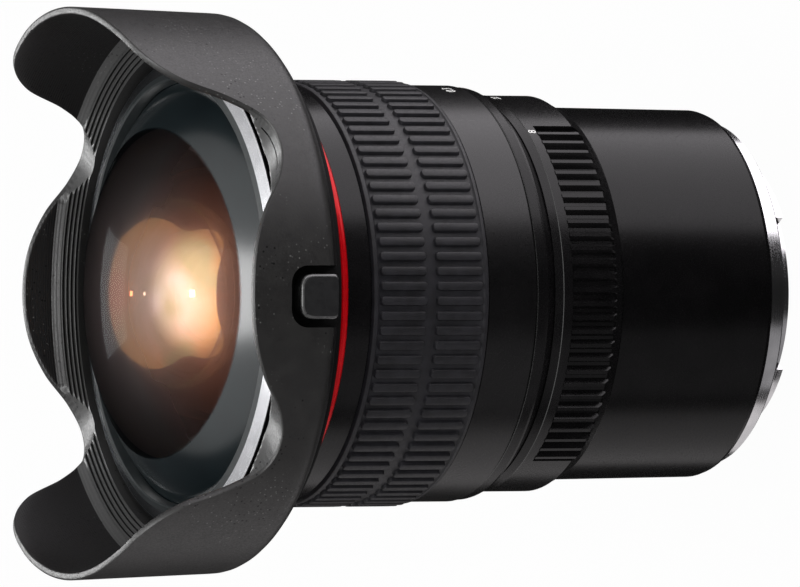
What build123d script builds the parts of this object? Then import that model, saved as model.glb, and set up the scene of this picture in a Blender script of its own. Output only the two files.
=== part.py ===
from build123d import *
import os
from math import atan, cos, degrees, hypot, radians, sin

# A manual fisheye lens for a mirrorless camera, standing on its mount.
# Origin: centre of the mount's flange face. +Z: the optical axis, towards the front glass.
# -Y: the side with the hood's release button. All sizes are in millimetres.

os.makedirs("parts", exist_ok=True)

# Bayonet and mount ring
FLANGE_R = 30.6
FLANGE_T = 3.2
THROAT_R = 20.5
SPIGOT_R = 22.95
SPIGOT_DEPTH = 4.8
LUG_R = 24.7
LUG_T = 1.6
LUG_SPAN = 54.0
MOUNT_SCREW_CIRCLE = 27.2
MOUNT_SCREW_R = 0.95
LOCK_HOLE_R = 1.6
LOCK_HOLE_DEPTH = 2.0
LOCK_HOLE_AT = 180.0

# Rear barrel
REAR_R = 32.7
REAR_FRONT_R = 33.0
REAR_TOP = 33.1
REAR_WALL = 1.9
REAR_PLATE_TOP = 7.2
BEARING_R = 31.5
BEARING_BORE = 29.4
BEARING_TOP = 47.5

# Baffle behind the rear glass, and the screws of the rear barrel and the neck
THIRDS = (0.0, 120.0, 240.0)
BAFFLE_SCREW_R = 0.7
BAFFLE_SCREW_DEPTH = 2.4
BAFFLE_CIRCLE = 27.2
BAFFLE_T = 1.1
WINDOW_W = 26.0
WINDOW_H = 18.0
NECK_SCREW_R = 0.6
NECK_SCREW_END = 44.6
NECK_CIRCLE = 30.45
NECK_SCREWS_AT = (30.0, 120.0, 270.0)

# Aperture ring
APERTURE_REAR = 33.2
APERTURE_FRONT = 46.95
APERTURE_REAR_R = 33.6
APERTURE_R = 35.0
APERTURE_BAND_END = 45.6
APERTURE_FRONT_R = 34.4
APERTURE_BORE = 31.55
RIB_R = 35.15
RIB_ROOT_R = 34.1
RIB_FOOT = 0.74
RIB_CREST = 0.26
APERTURE_RIB_FRONT = 43.8
RIBS_PER_TURN = 90
RIB_SECTOR = 57.0
APERTURE_TRAVEL = 50.0
CLICKS = 6
FORK_W = 7.0
FORK_BORE = 27.9
FORK_REAR = 37.4
FORK_FRONT = 43.4
CLICK_AT = 0.0
CLICK_FLOOR = 30.1
CLICK_LEAF_R = 30.7
CLICK_LEAF_T = 0.25
CLICK_LENGTH = 9.0
CLICK_LOW = 43.9
CLICK_HIGH = 46.1
CLICK_BUMP_R = 0.5

# Index ring, the fixed neck between the two turning rings
INDEX_REAR = 47.05
INDEX_FRONT = 51.4
INDEX_REAR_R = 34.4
INDEX_SHOULDER_R = 35.9
INDEX_SHOULDER = 48.8
INDEX_FRONT_R = 36.4
INDEX_WEB_TOP = 51.0
STOP_CIRCLE = 32.9
STOP_R = 1.0
STOP_AT = 300.0
STOP_PIN_FRONT = 53.2
STOP_RIB_R = 31.4
STOP_RIB_REAR = 51.8
STOP_RIB_FRONT = 53.4

# Focus ring, grip and cam
FOCUS_REAR = 51.6
FOCUS_FRONT = 83.1
FOCUS_R = 36.7
FOCUS_BORE = 34.2
GRIP_REAR = 60.9
GRIP_SEAT_R = 35.3
GRIP_BASE_R = 36.75
GRIP_RIB_R = 37.45
GRIP_RIM_R = 37.1
GRIP_RIB_REAR = 62.2
GRIP_RIB_LENGTH = 8.9
GRIP_RIB_GAP = 1.8
GRIP_FOOT = 0.72
GRIP_CREST = 0.56
FOCUS_TRAVEL = 96.0
OPTICS_TRAVEL = 1.5
CAM_R = 28.6
CAM_BORE = 27.05
CAM_REAR = 51.7
CAM_FRONT = 62.2
ROLLER_R = 1.45
ROLLER_Z = 55.6
ROLLER_SLOT = 3.0
ROLLERS_AT = (90.0, 210.0, 330.0)
INNER_FLANGE_LOW = 57.9
INNER_FLANGE_HIGH = 60.4
INNER_FLANGE_BORE = 29.1
CAM_FLANGE_R = 33.6
CAM_SCREW_R = 0.7
CAM_SCREW_CIRCLE = 31.4

# Guide tube and optics carrier
GUIDE_R = 27.0
GUIDE_BORE = 25.45
GUIDE_REAR = 24.0
GUIDE_FLANGE_TOP = 49.3
GUIDE_FRONT = 84.2
CARRIER_R = 25.4
CARRIER_BORE = 23.5
CARRIER_REAR = 26.0
CARRIER_FRONT = 66.0
SHOULDER_REAR = 44.0
SHOULDER_FRONT = 46.0
SHOULDER_R = 19.0
CELL_R = 23.45
FRONT_FLANGE_REAR = 81.6
FRONT_FLANGE_R = 33.2
FRONT_SCREW_R = 0.8
FRONT_SCREW_CIRCLE = 30.2

# Front barrel, red ring and hood bayonet
FRONT_REAR = 83.2
FRONT_R = 36.5
RED_REAR = 87.7
RED_FRONT = 89.1
RED_R = 36.8
RED_SEAT_R = 35.9
FLARE_START_R = 37.2
FLARE_SLOPE = 0.485
LIP_R = 44.0
LIP_BORE = 42.9
LIP_TOP = 94.6
NOSE_R = 41.05
NOSE_BORE = 38.9
NOSE_TOP = 102.6
HOOD_LUG_SPAN = 38.0
HOOD_LUGS_AT = (-30.0, 90.0, 210.0)
BARREL_LUG_R = 42.8
BARREL_LUG_REAR = 97.0
BARREL_LUG_T = 1.6
RETAINER_TOP = 103.3
RETAINER_CREST = 104.0
RETAINER_EDGE = 102.8
CELL_REAR = 86.6
CELL_NECK_R = 34.6
CELL_STEP = 91.3

# Petal hood: height of the lip, by angle from the middle of a short petal to the middle of a long one
HOOD_REAR_BORE = 44.3
HOOD_REAR_FACE = 94.9
HOOD_SHOULDER_R = 48.9
HOOD_SHOULDER_Z = 97.4
HOOD_TOP_R = 49.8
HOOD_TOP = 124.5
HOOD_WALL = 1.4
HOOD_BORE = 43.1
HOOD_STEPS = 4
HOOD_BASE_TOP = 105.3
HOOD_BAND_TOP = 106.4
HOOD_BAND_R = 46.6
LIP_STATIONS = (
    (0, 111.5), (9, 110.7), (17, 108.2), (24, 104.6), (31, 103.05),
    (38, 104.7), (43, 110.0), (48, 117.8), (55, 122.3), (66, 124.0), (78, 124.45), (90, 124.5),
)

# Release button and its latch
BUTTON_W = 7.7
BUTTON_REAR = 95.6
BUTTON_FRONT = 102.5
BUTTON_FACE = 49.35
BUTTON_TRAVEL = 0.9
BUTTON_SLOT_W = 10.6
BUTTON_SLOT_CORNER = 3.2
BUTTON_CORNER = 2.2
BUTTON_SLOT_FRONT = 104.3
BUTTON_FLOOR = 45.0
STEM_W = 4.6
STEM_REAR = 95.1
STEM_TOP = 96.7
TOOTH_W = 4.0
PIN_HOLE_R = 0.45
PIN_HOLE_AT = -50.0
SLIT_R = 46.45
SLIT_W = 0.3
SLIT_FROM = -63.0
SLIT_TO = -52.5

# Glass: apex height and radius of the front and the rear face, and the rim's radius
DOME_R = 54.6
DOME_APEX = 116.2
DOME_RIM_R = 37.5
DOME_REAR_R = 27.5
DOME_REAR_APEX = 112.7
DOME_FLAT = 92.2
SECOND_R = 24.5
SECOND_REAR = 88.8

# Iris: blades hang on pivots at PIVOT_CIRCLE and are driven by pins in the actuator's slots
BLADES = 6
PIVOT_CIRCLE = 13.2
DRIVE_ARM = 6.5
DRIVE_START = -68.0
BLADE_TURN = 22.5
IRIS_OPEN_R = 6.2
VANE_R = 11.5
VANE_SPAN = 112.0
BLADE_T = 0.15
BLADE_PITCH = 0.25
BLADE_TOP = 42.5
PIN_R = 0.6
PIN_GAP = 0.08
ACTUATOR_REAR = 39.7
ACTUATOR_FRONT = 40.9
ACTUATOR_R = 21.4
ARM_W = 3.0
ARM_END = 30.1
ARM_REAR = 39.9
ARM_AT = 155.0


def turned(*outline):
    """A solid turned about the optical axis from (radius, height) corners."""
    return revolve(Plane.XZ * make_face(Polyline(*outline, close=True)), Axis.Z)


def tube(bore, radius, low, high):
    return turned((bore, low), (radius, low), (radius, high), (bore, high))


def post(radius, low, high, at_r=0.0, at_angle=0.0):
    """A round bar along the optical axis."""
    place = Pos(at_r * cos(radians(at_angle)), at_r * sin(radians(at_angle)), low)
    return place * Cylinder(radius, high - low, align=(Align.CENTER, Align.CENTER, Align.MIN))


def spoke(radius, inner, outer, z, angle):
    """A round bar that points away from the optical axis."""
    bar = Cylinder(radius, outer - inner, align=(Align.CENTER, Align.CENTER, Align.MIN))
    return Rot(0, 0, angle) * Pos(inner, 0, z) * Rot(0, 90, 0) * bar


def sector(bore, radius, low, high, start, end):
    """A slice of a tube between two angles."""
    outline = Polyline((bore, low), (radius, low), (radius, high), (bore, high), close=True)
    return Rot(0, 0, start) * revolve(Plane.XZ * make_face(outline), Axis.Z, end - start)


def block(r_low, r_high, width, low, high, angle=0.0):
    """A box that points away from the optical axis."""
    box = Box(r_high - r_low, width, high - low, align=(Align.MIN, Align.CENTER, Align.MIN))
    return Rot(0, 0, angle) * Pos(r_low, 0, low) * box


def ball(radius, z):
    return Pos(0, 0, z) * Sphere(radius)


def save(name, shape):
    shape.label = name
    export_step(shape, f"parts/{name}.step")
    return shape


def group(shapes):
    return Compound(children=list(shapes))


def mount_parts():
    ring = turned(
        (THROAT_R, -SPIGOT_DEPTH), (SPIGOT_R, -SPIGOT_DEPTH), (SPIGOT_R, 0),
        (FLANGE_R - 0.3, 0), (FLANGE_R, 0.3), (FLANGE_R, FLANGE_T), (THROAT_R, FLANGE_T),
    )
    for turn in THIRDS:
        lug_start = turn - LUG_SPAN / 2 + 90
        lug_front = LUG_T - SPIGOT_DEPTH
        ring += sector(SPIGOT_R - 0.5, LUG_R, -SPIGOT_DEPTH, lug_front, lug_start, lug_start + LUG_SPAN)
    screws = []
    head_r, head_t, shank_depth = 1.8, 1.1, 3.0
    for turn in (45, 135, 225, 315):
        ring -= post(head_r, 0, head_t, MOUNT_SCREW_CIRCLE, turn)
        ring -= post(MOUNT_SCREW_R, 0, FLANGE_T, MOUNT_SCREW_CIRCLE, turn)
        head = post(head_r, 0.15, head_t, MOUNT_SCREW_CIRCLE, turn)
        screws.append(head + post(MOUNT_SCREW_R, head_t, FLANGE_T + shank_depth, MOUNT_SCREW_CIRCLE, turn))
    ring -= post(LOCK_HOLE_R, 0, LOCK_HOLE_DEPTH, MOUNT_SCREW_CIRCLE, LOCK_HOLE_AT)
    save("mount_ring", ring)
    save("mount_screws", group(screws))
    return shank_depth


def rear_barrel(shank_depth):
    web_rear = REAR_TOP - 2.0
    barrel = turned(
        (THROAT_R + 0.6, FLANGE_T), (REAR_R - 0.9, FLANGE_T), (REAR_R - 0.25, FLANGE_T + 0.3),
        (REAR_R, FLANGE_T + 1), (REAR_FRONT_R, REAR_TOP), (BEARING_R, REAR_TOP), (BEARING_R, BEARING_TOP),
        (BEARING_BORE, BEARING_TOP), (BEARING_BORE, web_rear), (REAR_FRONT_R - REAR_WALL, web_rear),
        (REAR_R - REAR_WALL, REAR_PLATE_TOP),
        (THROAT_R + 0.6, REAR_PLATE_TOP),
    )
    for turn in (45, 135, 225, 315):
        barrel -= post(MOUNT_SCREW_R, FLANGE_T, FLANGE_T + shank_depth, MOUNT_SCREW_CIRCLE, turn)
    screw_end = REAR_PLATE_TOP - BAFFLE_SCREW_DEPTH
    for turn in THIRDS:
        barrel -= post(BAFFLE_SCREW_R, screw_end, REAR_PLATE_TOP, BAFFLE_CIRCLE, turn)
    for turn in NECK_SCREWS_AT:
        barrel -= post(NECK_SCREW_R, NECK_SCREW_END, BEARING_TOP, NECK_CIRCLE, turn)
    middle = ARM_AT + APERTURE_TRAVEL / 2
    half = APERTURE_TRAVEL / 2 + degrees(atan(FORK_W / 2 / BEARING_BORE)) + 1.0
    fork_low, fork_high = FORK_REAR - 0.4, FORK_FRONT + 0.4
    barrel -= sector(BEARING_BORE - 1, BEARING_R + 1, fork_low, fork_high, middle - half, middle + half)
    pocket_low, pocket_high = CLICK_LOW - 0.2, CLICK_HIGH + 0.2
    barrel -= block(CLICK_FLOOR, BEARING_R + 1, CLICK_LENGTH + 0.6, pocket_low, pocket_high, CLICK_AT)
    save("rear_barrel", barrel)


def rear_baffle():
    top = REAR_PLATE_TOP + BAFFLE_T
    plate = tube(THROAT_R - 1.1, THROAT_R - 0.2, 0.6, REAR_PLATE_TOP)
    plate += post(BAFFLE_CIRCLE + 2.2, REAR_PLATE_TOP, top)
    window = RectangleRounded(WINDOW_W, WINDOW_H, 2.0)
    plate -= Pos(0, 0, REAR_PLATE_TOP - 1) * extrude(window, BAFFLE_T + 2)
    screws = []
    head_r, head_t = 1.3, 0.8
    screw_end = REAR_PLATE_TOP - BAFFLE_SCREW_DEPTH
    for turn in THIRDS:
        plate -= post(BAFFLE_SCREW_R, REAR_PLATE_TOP, top, BAFFLE_CIRCLE, turn)
        head = post(head_r, top, top + head_t, BAFFLE_CIRCLE, turn)
        screws.append(head + post(BAFFLE_SCREW_R, screw_end, top, BAFFLE_CIRCLE, turn))
    save("rear_baffle", plate)
    save("baffle_screws", group(screws))


def rib_corners(root, top, first, last, foot_share, crest_share):
    """Corners of a gear-like outline, with one rib to a pitch between two angles."""
    pitch = 360.0 / RIBS_PER_TURN
    count = round((last - first) / pitch)
    corners = []
    for rib in range(count):
        middle = first + (rib + 0.5) * pitch
        foot = pitch * foot_share / 2
        crest = pitch * crest_share / 2
        rib_outline = (
            (root, middle - foot), (top, middle - crest), (top, middle + crest), (root, middle + foot),
        )
        for radius, angle in rib_outline:
            corners.append((radius * cos(radians(angle)), radius * sin(radians(angle))))
    return corners


def aperture_ring():
    chamfer_top = 35.9
    ring = turned(
        (APERTURE_BORE, APERTURE_REAR), (APERTURE_REAR_R - 0.2, APERTURE_REAR),
        (APERTURE_REAR_R, APERTURE_REAR + 0.3), (APERTURE_R - 0.2, chamfer_top),
        (APERTURE_R, chamfer_top + 0.3), (APERTURE_R, APERTURE_BAND_END - 0.1),
        (APERTURE_R - 0.1, APERTURE_BAND_END), (APERTURE_FRONT_R, APERTURE_FRONT),
        (APERTURE_BORE, APERTURE_FRONT),
    )
    rib_low = chamfer_top - 0.9
    for side in (-90.0, 90.0):
        start, end = side - RIB_SECTOR, side + RIB_SECTOR
        ring -= sector(RIB_ROOT_R, RIB_R + 2, rib_low, APERTURE_RIB_FRONT, start, end)
        outline = rib_corners(RIB_ROOT_R, RIB_R, start, end, RIB_FOOT, RIB_CREST)
        bed_r = RIB_ROOT_R - 0.4
        bed = [(bed_r * cos(radians(turn)), bed_r * sin(radians(turn))) for turn in (end, side, start)]
        face = make_face(Polyline(bed[2], *outline, bed[0]) + ThreePointArc(*bed))
        ribs = Pos(0, 0, rib_low) * extrude(face, APERTURE_RIB_FRONT - rib_low)
        # The ribs' rear ends are turned off at a slant.
        slant = turned(
            (RIB_ROOT_R - 1, 30), (APERTURE_REAR_R + 0.6, 30), (APERTURE_REAR_R + 0.6, chamfer_top - 1.6),
            (RIB_R + 0.05, chamfer_top), (RIB_R + 0.05, 50), (RIB_ROOT_R - 1, 50),
        )
        ring += ribs & slant
    for click in range(CLICKS):
        turn = CLICK_AT - click * APERTURE_TRAVEL / (CLICKS - 1)
        ring -= post(CLICK_BUMP_R + 0.06, CLICK_LOW - 0.1, CLICK_HIGH + 0.1, APERTURE_BORE, turn)
    ring -= block(APERTURE_BORE - 0.5, APERTURE_BORE + 1.5, 4.0, FORK_REAR + 1.5, FORK_FRONT - 1.5, ARM_AT)
    fork = block(FORK_BORE, APERTURE_BORE + 1.5, 4.0, FORK_REAR + 1.5, FORK_FRONT - 1.5, ARM_AT)
    fork += block(FORK_BORE, APERTURE_BORE - 0.35, FORK_W, FORK_REAR, FORK_FRONT, ARM_AT)
    fork -= block(27.0, ARM_END + 0.5, ARM_W + 0.1, FORK_REAR - 1, FORK_FRONT + 1, ARM_AT)
    save("aperture_ring", ring)
    save("aperture_fork", fork)


def click_spring():
    """A leaf in the barrel's pocket, with a round bump that clicks into the ring."""
    leaf_outer = CLICK_LEAF_R + CLICK_LEAF_T
    leaf = block(CLICK_LEAF_R, leaf_outer, CLICK_LENGTH, CLICK_LOW, CLICK_HIGH, CLICK_AT)
    leaf += post(CLICK_BUMP_R, CLICK_LOW, CLICK_HIGH, leaf_outer + CLICK_BUMP_R - 0.05, CLICK_AT)
    foot_length = 1.6
    foot = block(CLICK_FLOOR, CLICK_LEAF_R, foot_length, CLICK_LOW, CLICK_HIGH)
    for side in (-1, 1):
        leaf += Rot(0, 0, CLICK_AT) * Pos(0, side * (CLICK_LENGTH - foot_length) / 2, 0) * foot
    save("click_spring", leaf)


def guide_tube():
    guide = turned(
        (GUIDE_BORE, GUIDE_REAR), (GUIDE_R, GUIDE_REAR), (GUIDE_R, BEARING_TOP), (BEARING_R, BEARING_TOP),
        (BEARING_R, GUIDE_FLANGE_TOP), (GUIDE_R, GUIDE_FLANGE_TOP), (GUIDE_R, FRONT_FLANGE_REAR),
        (FRONT_FLANGE_R, FRONT_FLANGE_REAR), (FRONT_FLANGE_R, GUIDE_FRONT), (GUIDE_BORE, GUIDE_FRONT),
    )
    slot_low = ROLLER_Z - ROLLER_R - 0.1
    slot_high = ROLLER_Z + OPTICS_TRAVEL + ROLLER_R + 0.1
    for turn in ROLLERS_AT:
        guide -= block(GUIDE_BORE - 1, GUIDE_R + 1, ROLLER_SLOT, slot_low, slot_high, turn)
    guide -= arm_slot(GUIDE_BORE, GUIDE_R, ARM_REAR - 0.4, ACTUATOR_FRONT + OPTICS_TRAVEL + 0.4)
    for turn in NECK_SCREWS_AT:
        guide -= post(NECK_SCREW_R, BEARING_TOP, GUIDE_FLANGE_TOP, NECK_CIRCLE, turn)
    for turn in THIRDS:
        guide -= post(FRONT_SCREW_R, FRONT_FLANGE_REAR, GUIDE_FRONT, FRONT_SCREW_CIRCLE, turn)
    save("guide_tube", guide)


def arm_slot(bore, radius, low, high):
    """The slot round the axis that lets the iris arm swing through a wall."""
    middle = ARM_AT + APERTURE_TRAVEL / 2
    half = APERTURE_TRAVEL / 2 + degrees(atan(ARM_W / 2 / bore)) + 1.0
    return sector(bore - 1, radius + 1, low, high, middle - half, middle + half)


def index_ring():
    ring = turned(
        (BEARING_R, INDEX_REAR), (INDEX_REAR_R - 0.15, INDEX_REAR), (INDEX_REAR_R, INDEX_REAR + 0.2),
        (INDEX_SHOULDER_R, INDEX_SHOULDER), (INDEX_FRONT_R - 0.12, INDEX_SHOULDER + 0.35),
        (INDEX_FRONT_R, INDEX_SHOULDER + 0.8), (INDEX_FRONT_R, INDEX_FRONT - 0.2),
        (INDEX_FRONT_R - 0.2, INDEX_FRONT), (FOCUS_BORE, INDEX_FRONT), (FOCUS_BORE, INDEX_WEB_TOP),
        (GUIDE_R, INDEX_WEB_TOP), (GUIDE_R, GUIDE_FLANGE_TOP), (BEARING_R, GUIDE_FLANGE_TOP),
    )
    screws = []
    head_r, head_low = 1.05, 50.1
    for turn in NECK_SCREWS_AT:
        ring -= post(NECK_SCREW_R, GUIDE_FLANGE_TOP, INDEX_WEB_TOP, NECK_CIRCLE, turn)
        ring -= post(head_r, head_low, INDEX_WEB_TOP, NECK_CIRCLE, turn)
        head = post(head_r, head_low, INDEX_WEB_TOP - 0.1, NECK_CIRCLE, turn)
        screws.append(head + post(NECK_SCREW_R, NECK_SCREW_END, head_low, NECK_CIRCLE, turn))
    ring -= post(STOP_R, GUIDE_FLANGE_TOP + 0.4, INDEX_WEB_TOP, STOP_CIRCLE, STOP_AT)
    save("index_ring", ring)
    save("neck_screws", group(screws))
    save("focus_stop_pin", post(STOP_R, GUIDE_FLANGE_TOP + 0.4, STOP_PIN_FRONT, STOP_CIRCLE, STOP_AT))


def focus_ring():
    ring = turned(
        (FOCUS_BORE, FOCUS_REAR), (FOCUS_R - 0.25, FOCUS_REAR), (FOCUS_R, FOCUS_REAR + 0.25),
        (FOCUS_R, GRIP_REAR - 0.15), (FOCUS_R - 0.15, GRIP_REAR), (GRIP_SEAT_R, GRIP_REAR),
        (GRIP_SEAT_R, FOCUS_FRONT), (FOCUS_BORE, FOCUS_FRONT), (FOCUS_BORE, INNER_FLANGE_HIGH),
        (INNER_FLANGE_BORE, INNER_FLANGE_HIGH), (INNER_FLANGE_BORE, INNER_FLANGE_LOW),
        (FOCUS_BORE, INNER_FLANGE_LOW),
    )
    # The stop rib has a gap in which the fixed pin stands, so the ring turns between the gap's ends.
    pin_half = degrees(STOP_R / STOP_CIRCLE) + 0.3
    rib_end = STOP_AT + 360 - FOCUS_TRAVEL - pin_half
    ring += sector(STOP_RIB_R, FOCUS_BORE + 0.4, STOP_RIB_REAR, STOP_RIB_FRONT, STOP_AT + pin_half, rib_end)
    screws = []
    head_r, head_t = 1.2, 0.8
    for turn in THIRDS:
        ring -= post(CAM_SCREW_R, INNER_FLANGE_LOW, INNER_FLANGE_HIGH, CAM_SCREW_CIRCLE, turn)
        head = post(head_r, CAM_FRONT, CAM_FRONT + head_t, CAM_SCREW_CIRCLE, turn)
        screws.append(head + post(CAM_SCREW_R, INNER_FLANGE_LOW + 0.3, CAM_FRONT, CAM_SCREW_CIRCLE, turn))
    save("focus_ring", ring)
    save("cam_screws", group(screws))


def focus_grip():
    grip_front = FOCUS_FRONT - 0.05
    sleeve = turned(
        (GRIP_SEAT_R, GRIP_REAR + 0.1), (GRIP_RIM_R - 0.25, GRIP_REAR + 0.1), (GRIP_RIM_R, GRIP_REAR + 0.35),
        (GRIP_RIM_R, GRIP_RIB_REAR - 0.4), (GRIP_BASE_R, GRIP_RIB_REAR - 0.2),
        (GRIP_BASE_R, grip_front - 1.1), (GRIP_RIM_R, grip_front - 0.9), (GRIP_RIM_R, grip_front - 0.25),
        (GRIP_RIM_R - 0.25, grip_front), (GRIP_SEAT_R, grip_front),
    )
    outline = rib_corners(GRIP_BASE_R - 0.05, GRIP_RIB_R, 0, 360, GRIP_FOOT, GRIP_CREST)
    face = make_face(Polyline(*outline, close=True)) - Circle(GRIP_BASE_R - 0.5)
    for row in range(2):
        low = GRIP_RIB_REAR + row * (GRIP_RIB_LENGTH + GRIP_RIB_GAP)
        sleeve += Pos(0, 0, low) * extrude(face, GRIP_RIB_LENGTH)
    save("focus_grip", sleeve)


def cam_sleeve():
    sleeve = turned(
        (CAM_BORE, CAM_REAR), (CAM_R, CAM_REAR), (CAM_R, INNER_FLANGE_HIGH),
        (CAM_FLANGE_R, INNER_FLANGE_HIGH), (CAM_FLANGE_R, CAM_FRONT), (CAM_BORE, CAM_FRONT),
    )
    mid_r = (CAM_BORE + CAM_R) / 2
    depth = CAM_R - CAM_BORE + 1.6
    # Each slot climbs by the optics' travel over the ring's turn, and runs on
    # by a roller's radius at both ends.
    spare = degrees((ROLLER_R + 0.1) / CAM_BORE)
    lead = OPTICS_TRAVEL * 360.0 / FOCUS_TRAVEL
    path = Helix(lead, lead * (FOCUS_TRAVEL + 2 * spare) / 360.0, mid_r, lefthand=True)
    section = Plane.XZ * Pos(mid_r, 0) * Rectangle(depth, ROLLER_SLOT)
    start = Pos(0, 0, ROLLER_Z - lead * spare / 360.0) * Rot(0, 0, spare)
    channel = start * sweep(section, path=path, is_frenet=True)
    for turn in ROLLERS_AT:
        sleeve -= Rot(0, 0, turn) * channel
    for turn in THIRDS:
        sleeve -= post(CAM_SCREW_R, INNER_FLANGE_HIGH, CAM_FRONT, CAM_SCREW_CIRCLE, turn)
    save("cam_sleeve", sleeve)
    rollers = [spoke(ROLLER_R, CARRIER_BORE + 0.2, CAM_R - 0.1, ROLLER_Z, turn) for turn in ROLLERS_AT]
    save("cam_rollers", group(rollers))


def flare(radius):
    """Height of the front barrel's flare at a radius."""
    return RED_FRONT + 0.2 + (radius - FLARE_START_R) * FLARE_SLOPE


def front_barrel():
    floor = flare(NOSE_R) + 1.7
    barrel = turned(
        (FRONT_FLANGE_R, FRONT_REAR), (FRONT_R - 0.2, FRONT_REAR), (FRONT_R, FRONT_REAR + 0.2),
        (FRONT_R, RED_REAR), (RED_SEAT_R, RED_REAR), (RED_SEAT_R, RED_FRONT),
        (FLARE_START_R - 0.4, RED_FRONT), (FLARE_START_R, flare(FLARE_START_R)), (LIP_R, flare(LIP_R)),
        (LIP_R, LIP_TOP), (LIP_BORE, LIP_TOP), (LIP_BORE, floor), (NOSE_R, floor), (NOSE_R, NOSE_TOP),
        (NOSE_BORE, NOSE_TOP), (NOSE_BORE, CELL_STEP), (CELL_NECK_R, CELL_STEP),
        (CELL_NECK_R, CELL_REAR), (GUIDE_BORE + 1.0, CELL_REAR),
        (GUIDE_BORE + 1.0, GUIDE_FRONT), (FRONT_FLANGE_R, GUIDE_FRONT),
    )
    for turn in HOOD_LUGS_AT:
        start = turn - HOOD_LUG_SPAN / 2
        lug_top = BARREL_LUG_REAR + BARREL_LUG_T
        barrel += sector(NOSE_R - 0.5, BARREL_LUG_R, BARREL_LUG_REAR, lug_top, start, start + HOOD_LUG_SPAN)
    # One stop behind the second lug keeps the hood from turning past its locked place.
    stop_end = HOOD_LUGS_AT[1] - HOOD_LUG_SPAN / 2 - 0.8
    stop_low = BARREL_LUG_REAR - 1.9
    barrel += sector(NOSE_R - 0.5, BARREL_LUG_R, stop_low, BARREL_LUG_REAR, stop_end - 5, stop_end)
    barrel -= block(LIP_BORE - 1, LIP_R + 1, TOOTH_W + 0.4, floor + 0.1, LIP_TOP + 1, -90)
    screws = []
    head_r, head_low = 1.5, CELL_REAR - 1.0
    for turn in THIRDS:
        barrel -= post(head_r, head_low, CELL_REAR, FRONT_SCREW_CIRCLE, turn)
        barrel -= post(FRONT_SCREW_R, GUIDE_FRONT, head_low, FRONT_SCREW_CIRCLE, turn)
        head = post(head_r, head_low, CELL_REAR - 0.1, FRONT_SCREW_CIRCLE, turn)
        screws.append(head + post(FRONT_SCREW_R, FRONT_FLANGE_REAR + 0.2, head_low, FRONT_SCREW_CIRCLE, turn))
    save("front_barrel", barrel)
    save("barrel_screws", group(screws))
    red = turned(
        (RED_SEAT_R, RED_REAR), (RED_R - 0.35, RED_REAR), (RED_R - 0.08, RED_REAR + 0.3),
        (RED_R, RED_REAR + 0.7), (RED_R - 0.08, RED_FRONT - 0.3), (RED_R - 0.35, RED_FRONT),
        (RED_SEAT_R, RED_FRONT),
    )
    save("red_ring", red)


def front_group():
    shelf_bore, cell_bore, cell_front = 26.9, 15.6, 101.4
    seat_r = SECOND_R + 0.05
    cell = turned(
        (cell_bore, CELL_REAR), (CELL_NECK_R, CELL_REAR), (CELL_NECK_R, CELL_STEP), (NOSE_BORE, CELL_STEP),
        (NOSE_BORE, cell_front), (DOME_RIM_R + 0.05, cell_front), (DOME_RIM_R + 0.05, DOME_FLAT),
        (shelf_bore, DOME_FLAT), (shelf_bore, SECOND_REAR + 1.8), (seat_r, SECOND_REAR + 1.8),
        (seat_r, SECOND_REAR), (cell_bore, SECOND_REAR),
    )
    save("front_cell", cell)
    dome = post(DOME_RIM_R, DOME_FLAT, DOME_APEX + 1) & ball(DOME_R, DOME_APEX - DOME_R)
    dome -= ball(DOME_REAR_R, DOME_REAR_APEX - DOME_REAR_R)
    save("front_element", dome)
    second = post(SECOND_R, SECOND_REAR, 105) & ball(40.0, 103.0 - 40.0)
    second -= ball(15.5, 98.5 - 15.5)
    save("second_element", second)
    # The retaining ring's face falls away from the glass.
    retainer = turned(
        (36.9, 102.0), (37.2, RETAINER_CREST - 0.2), (37.5, RETAINER_CREST), (NOSE_R, RETAINER_EDGE),
        (NOSE_R, NOSE_TOP), (NOSE_BORE, NOSE_TOP), (NOSE_BORE, 101.5), (37.7, 101.5),
    )
    save("front_retainer", retainer)


def hood_lip_cutter():
    """Everything above the petals' wavy edge, as a thick ring with a ruled underside."""
    quarter = list(LIP_STATIONS)
    turn = []
    for angle, height in quarter:
        turn.append((angle, height))
    for angle, height in reversed(quarter[:-1]):
        turn.append((180 - angle, height))
    for angle, height in quarter[1:]:
        turn.append((180 + angle, height))
    for angle, height in reversed(quarter[1:-1]):
        turn.append((360 - angle, height))

    def rim(radius):
        points = []
        for angle, height in turn:
            from_x = radians(angle - 90)
            points.append(Vector(radius * cos(from_x), radius * sin(from_x), height))
        return Edge.make_spline(points, periodic=True)

    inner_r, outer_r, top = 40.0, 56.0, 130.0
    inner_rim = rim(inner_r)
    outer_rim = rim(outer_r)
    inner_top = Edge.make_circle(inner_r, Plane.XY.offset(top), start_angle=-90, end_angle=270)
    outer_top = Edge.make_circle(outer_r, Plane.XY.offset(top), start_angle=-90, end_angle=270)
    faces = [
        Face.make_surface_from_curves(inner_rim, outer_rim),
        Face.make_surface_from_curves(outer_rim, outer_top),
        Face.make_surface_from_curves(inner_top, inner_rim),
        Face.make_surface_from_curves(outer_top, inner_top),
    ]
    return Solid(Shell(faces))


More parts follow.
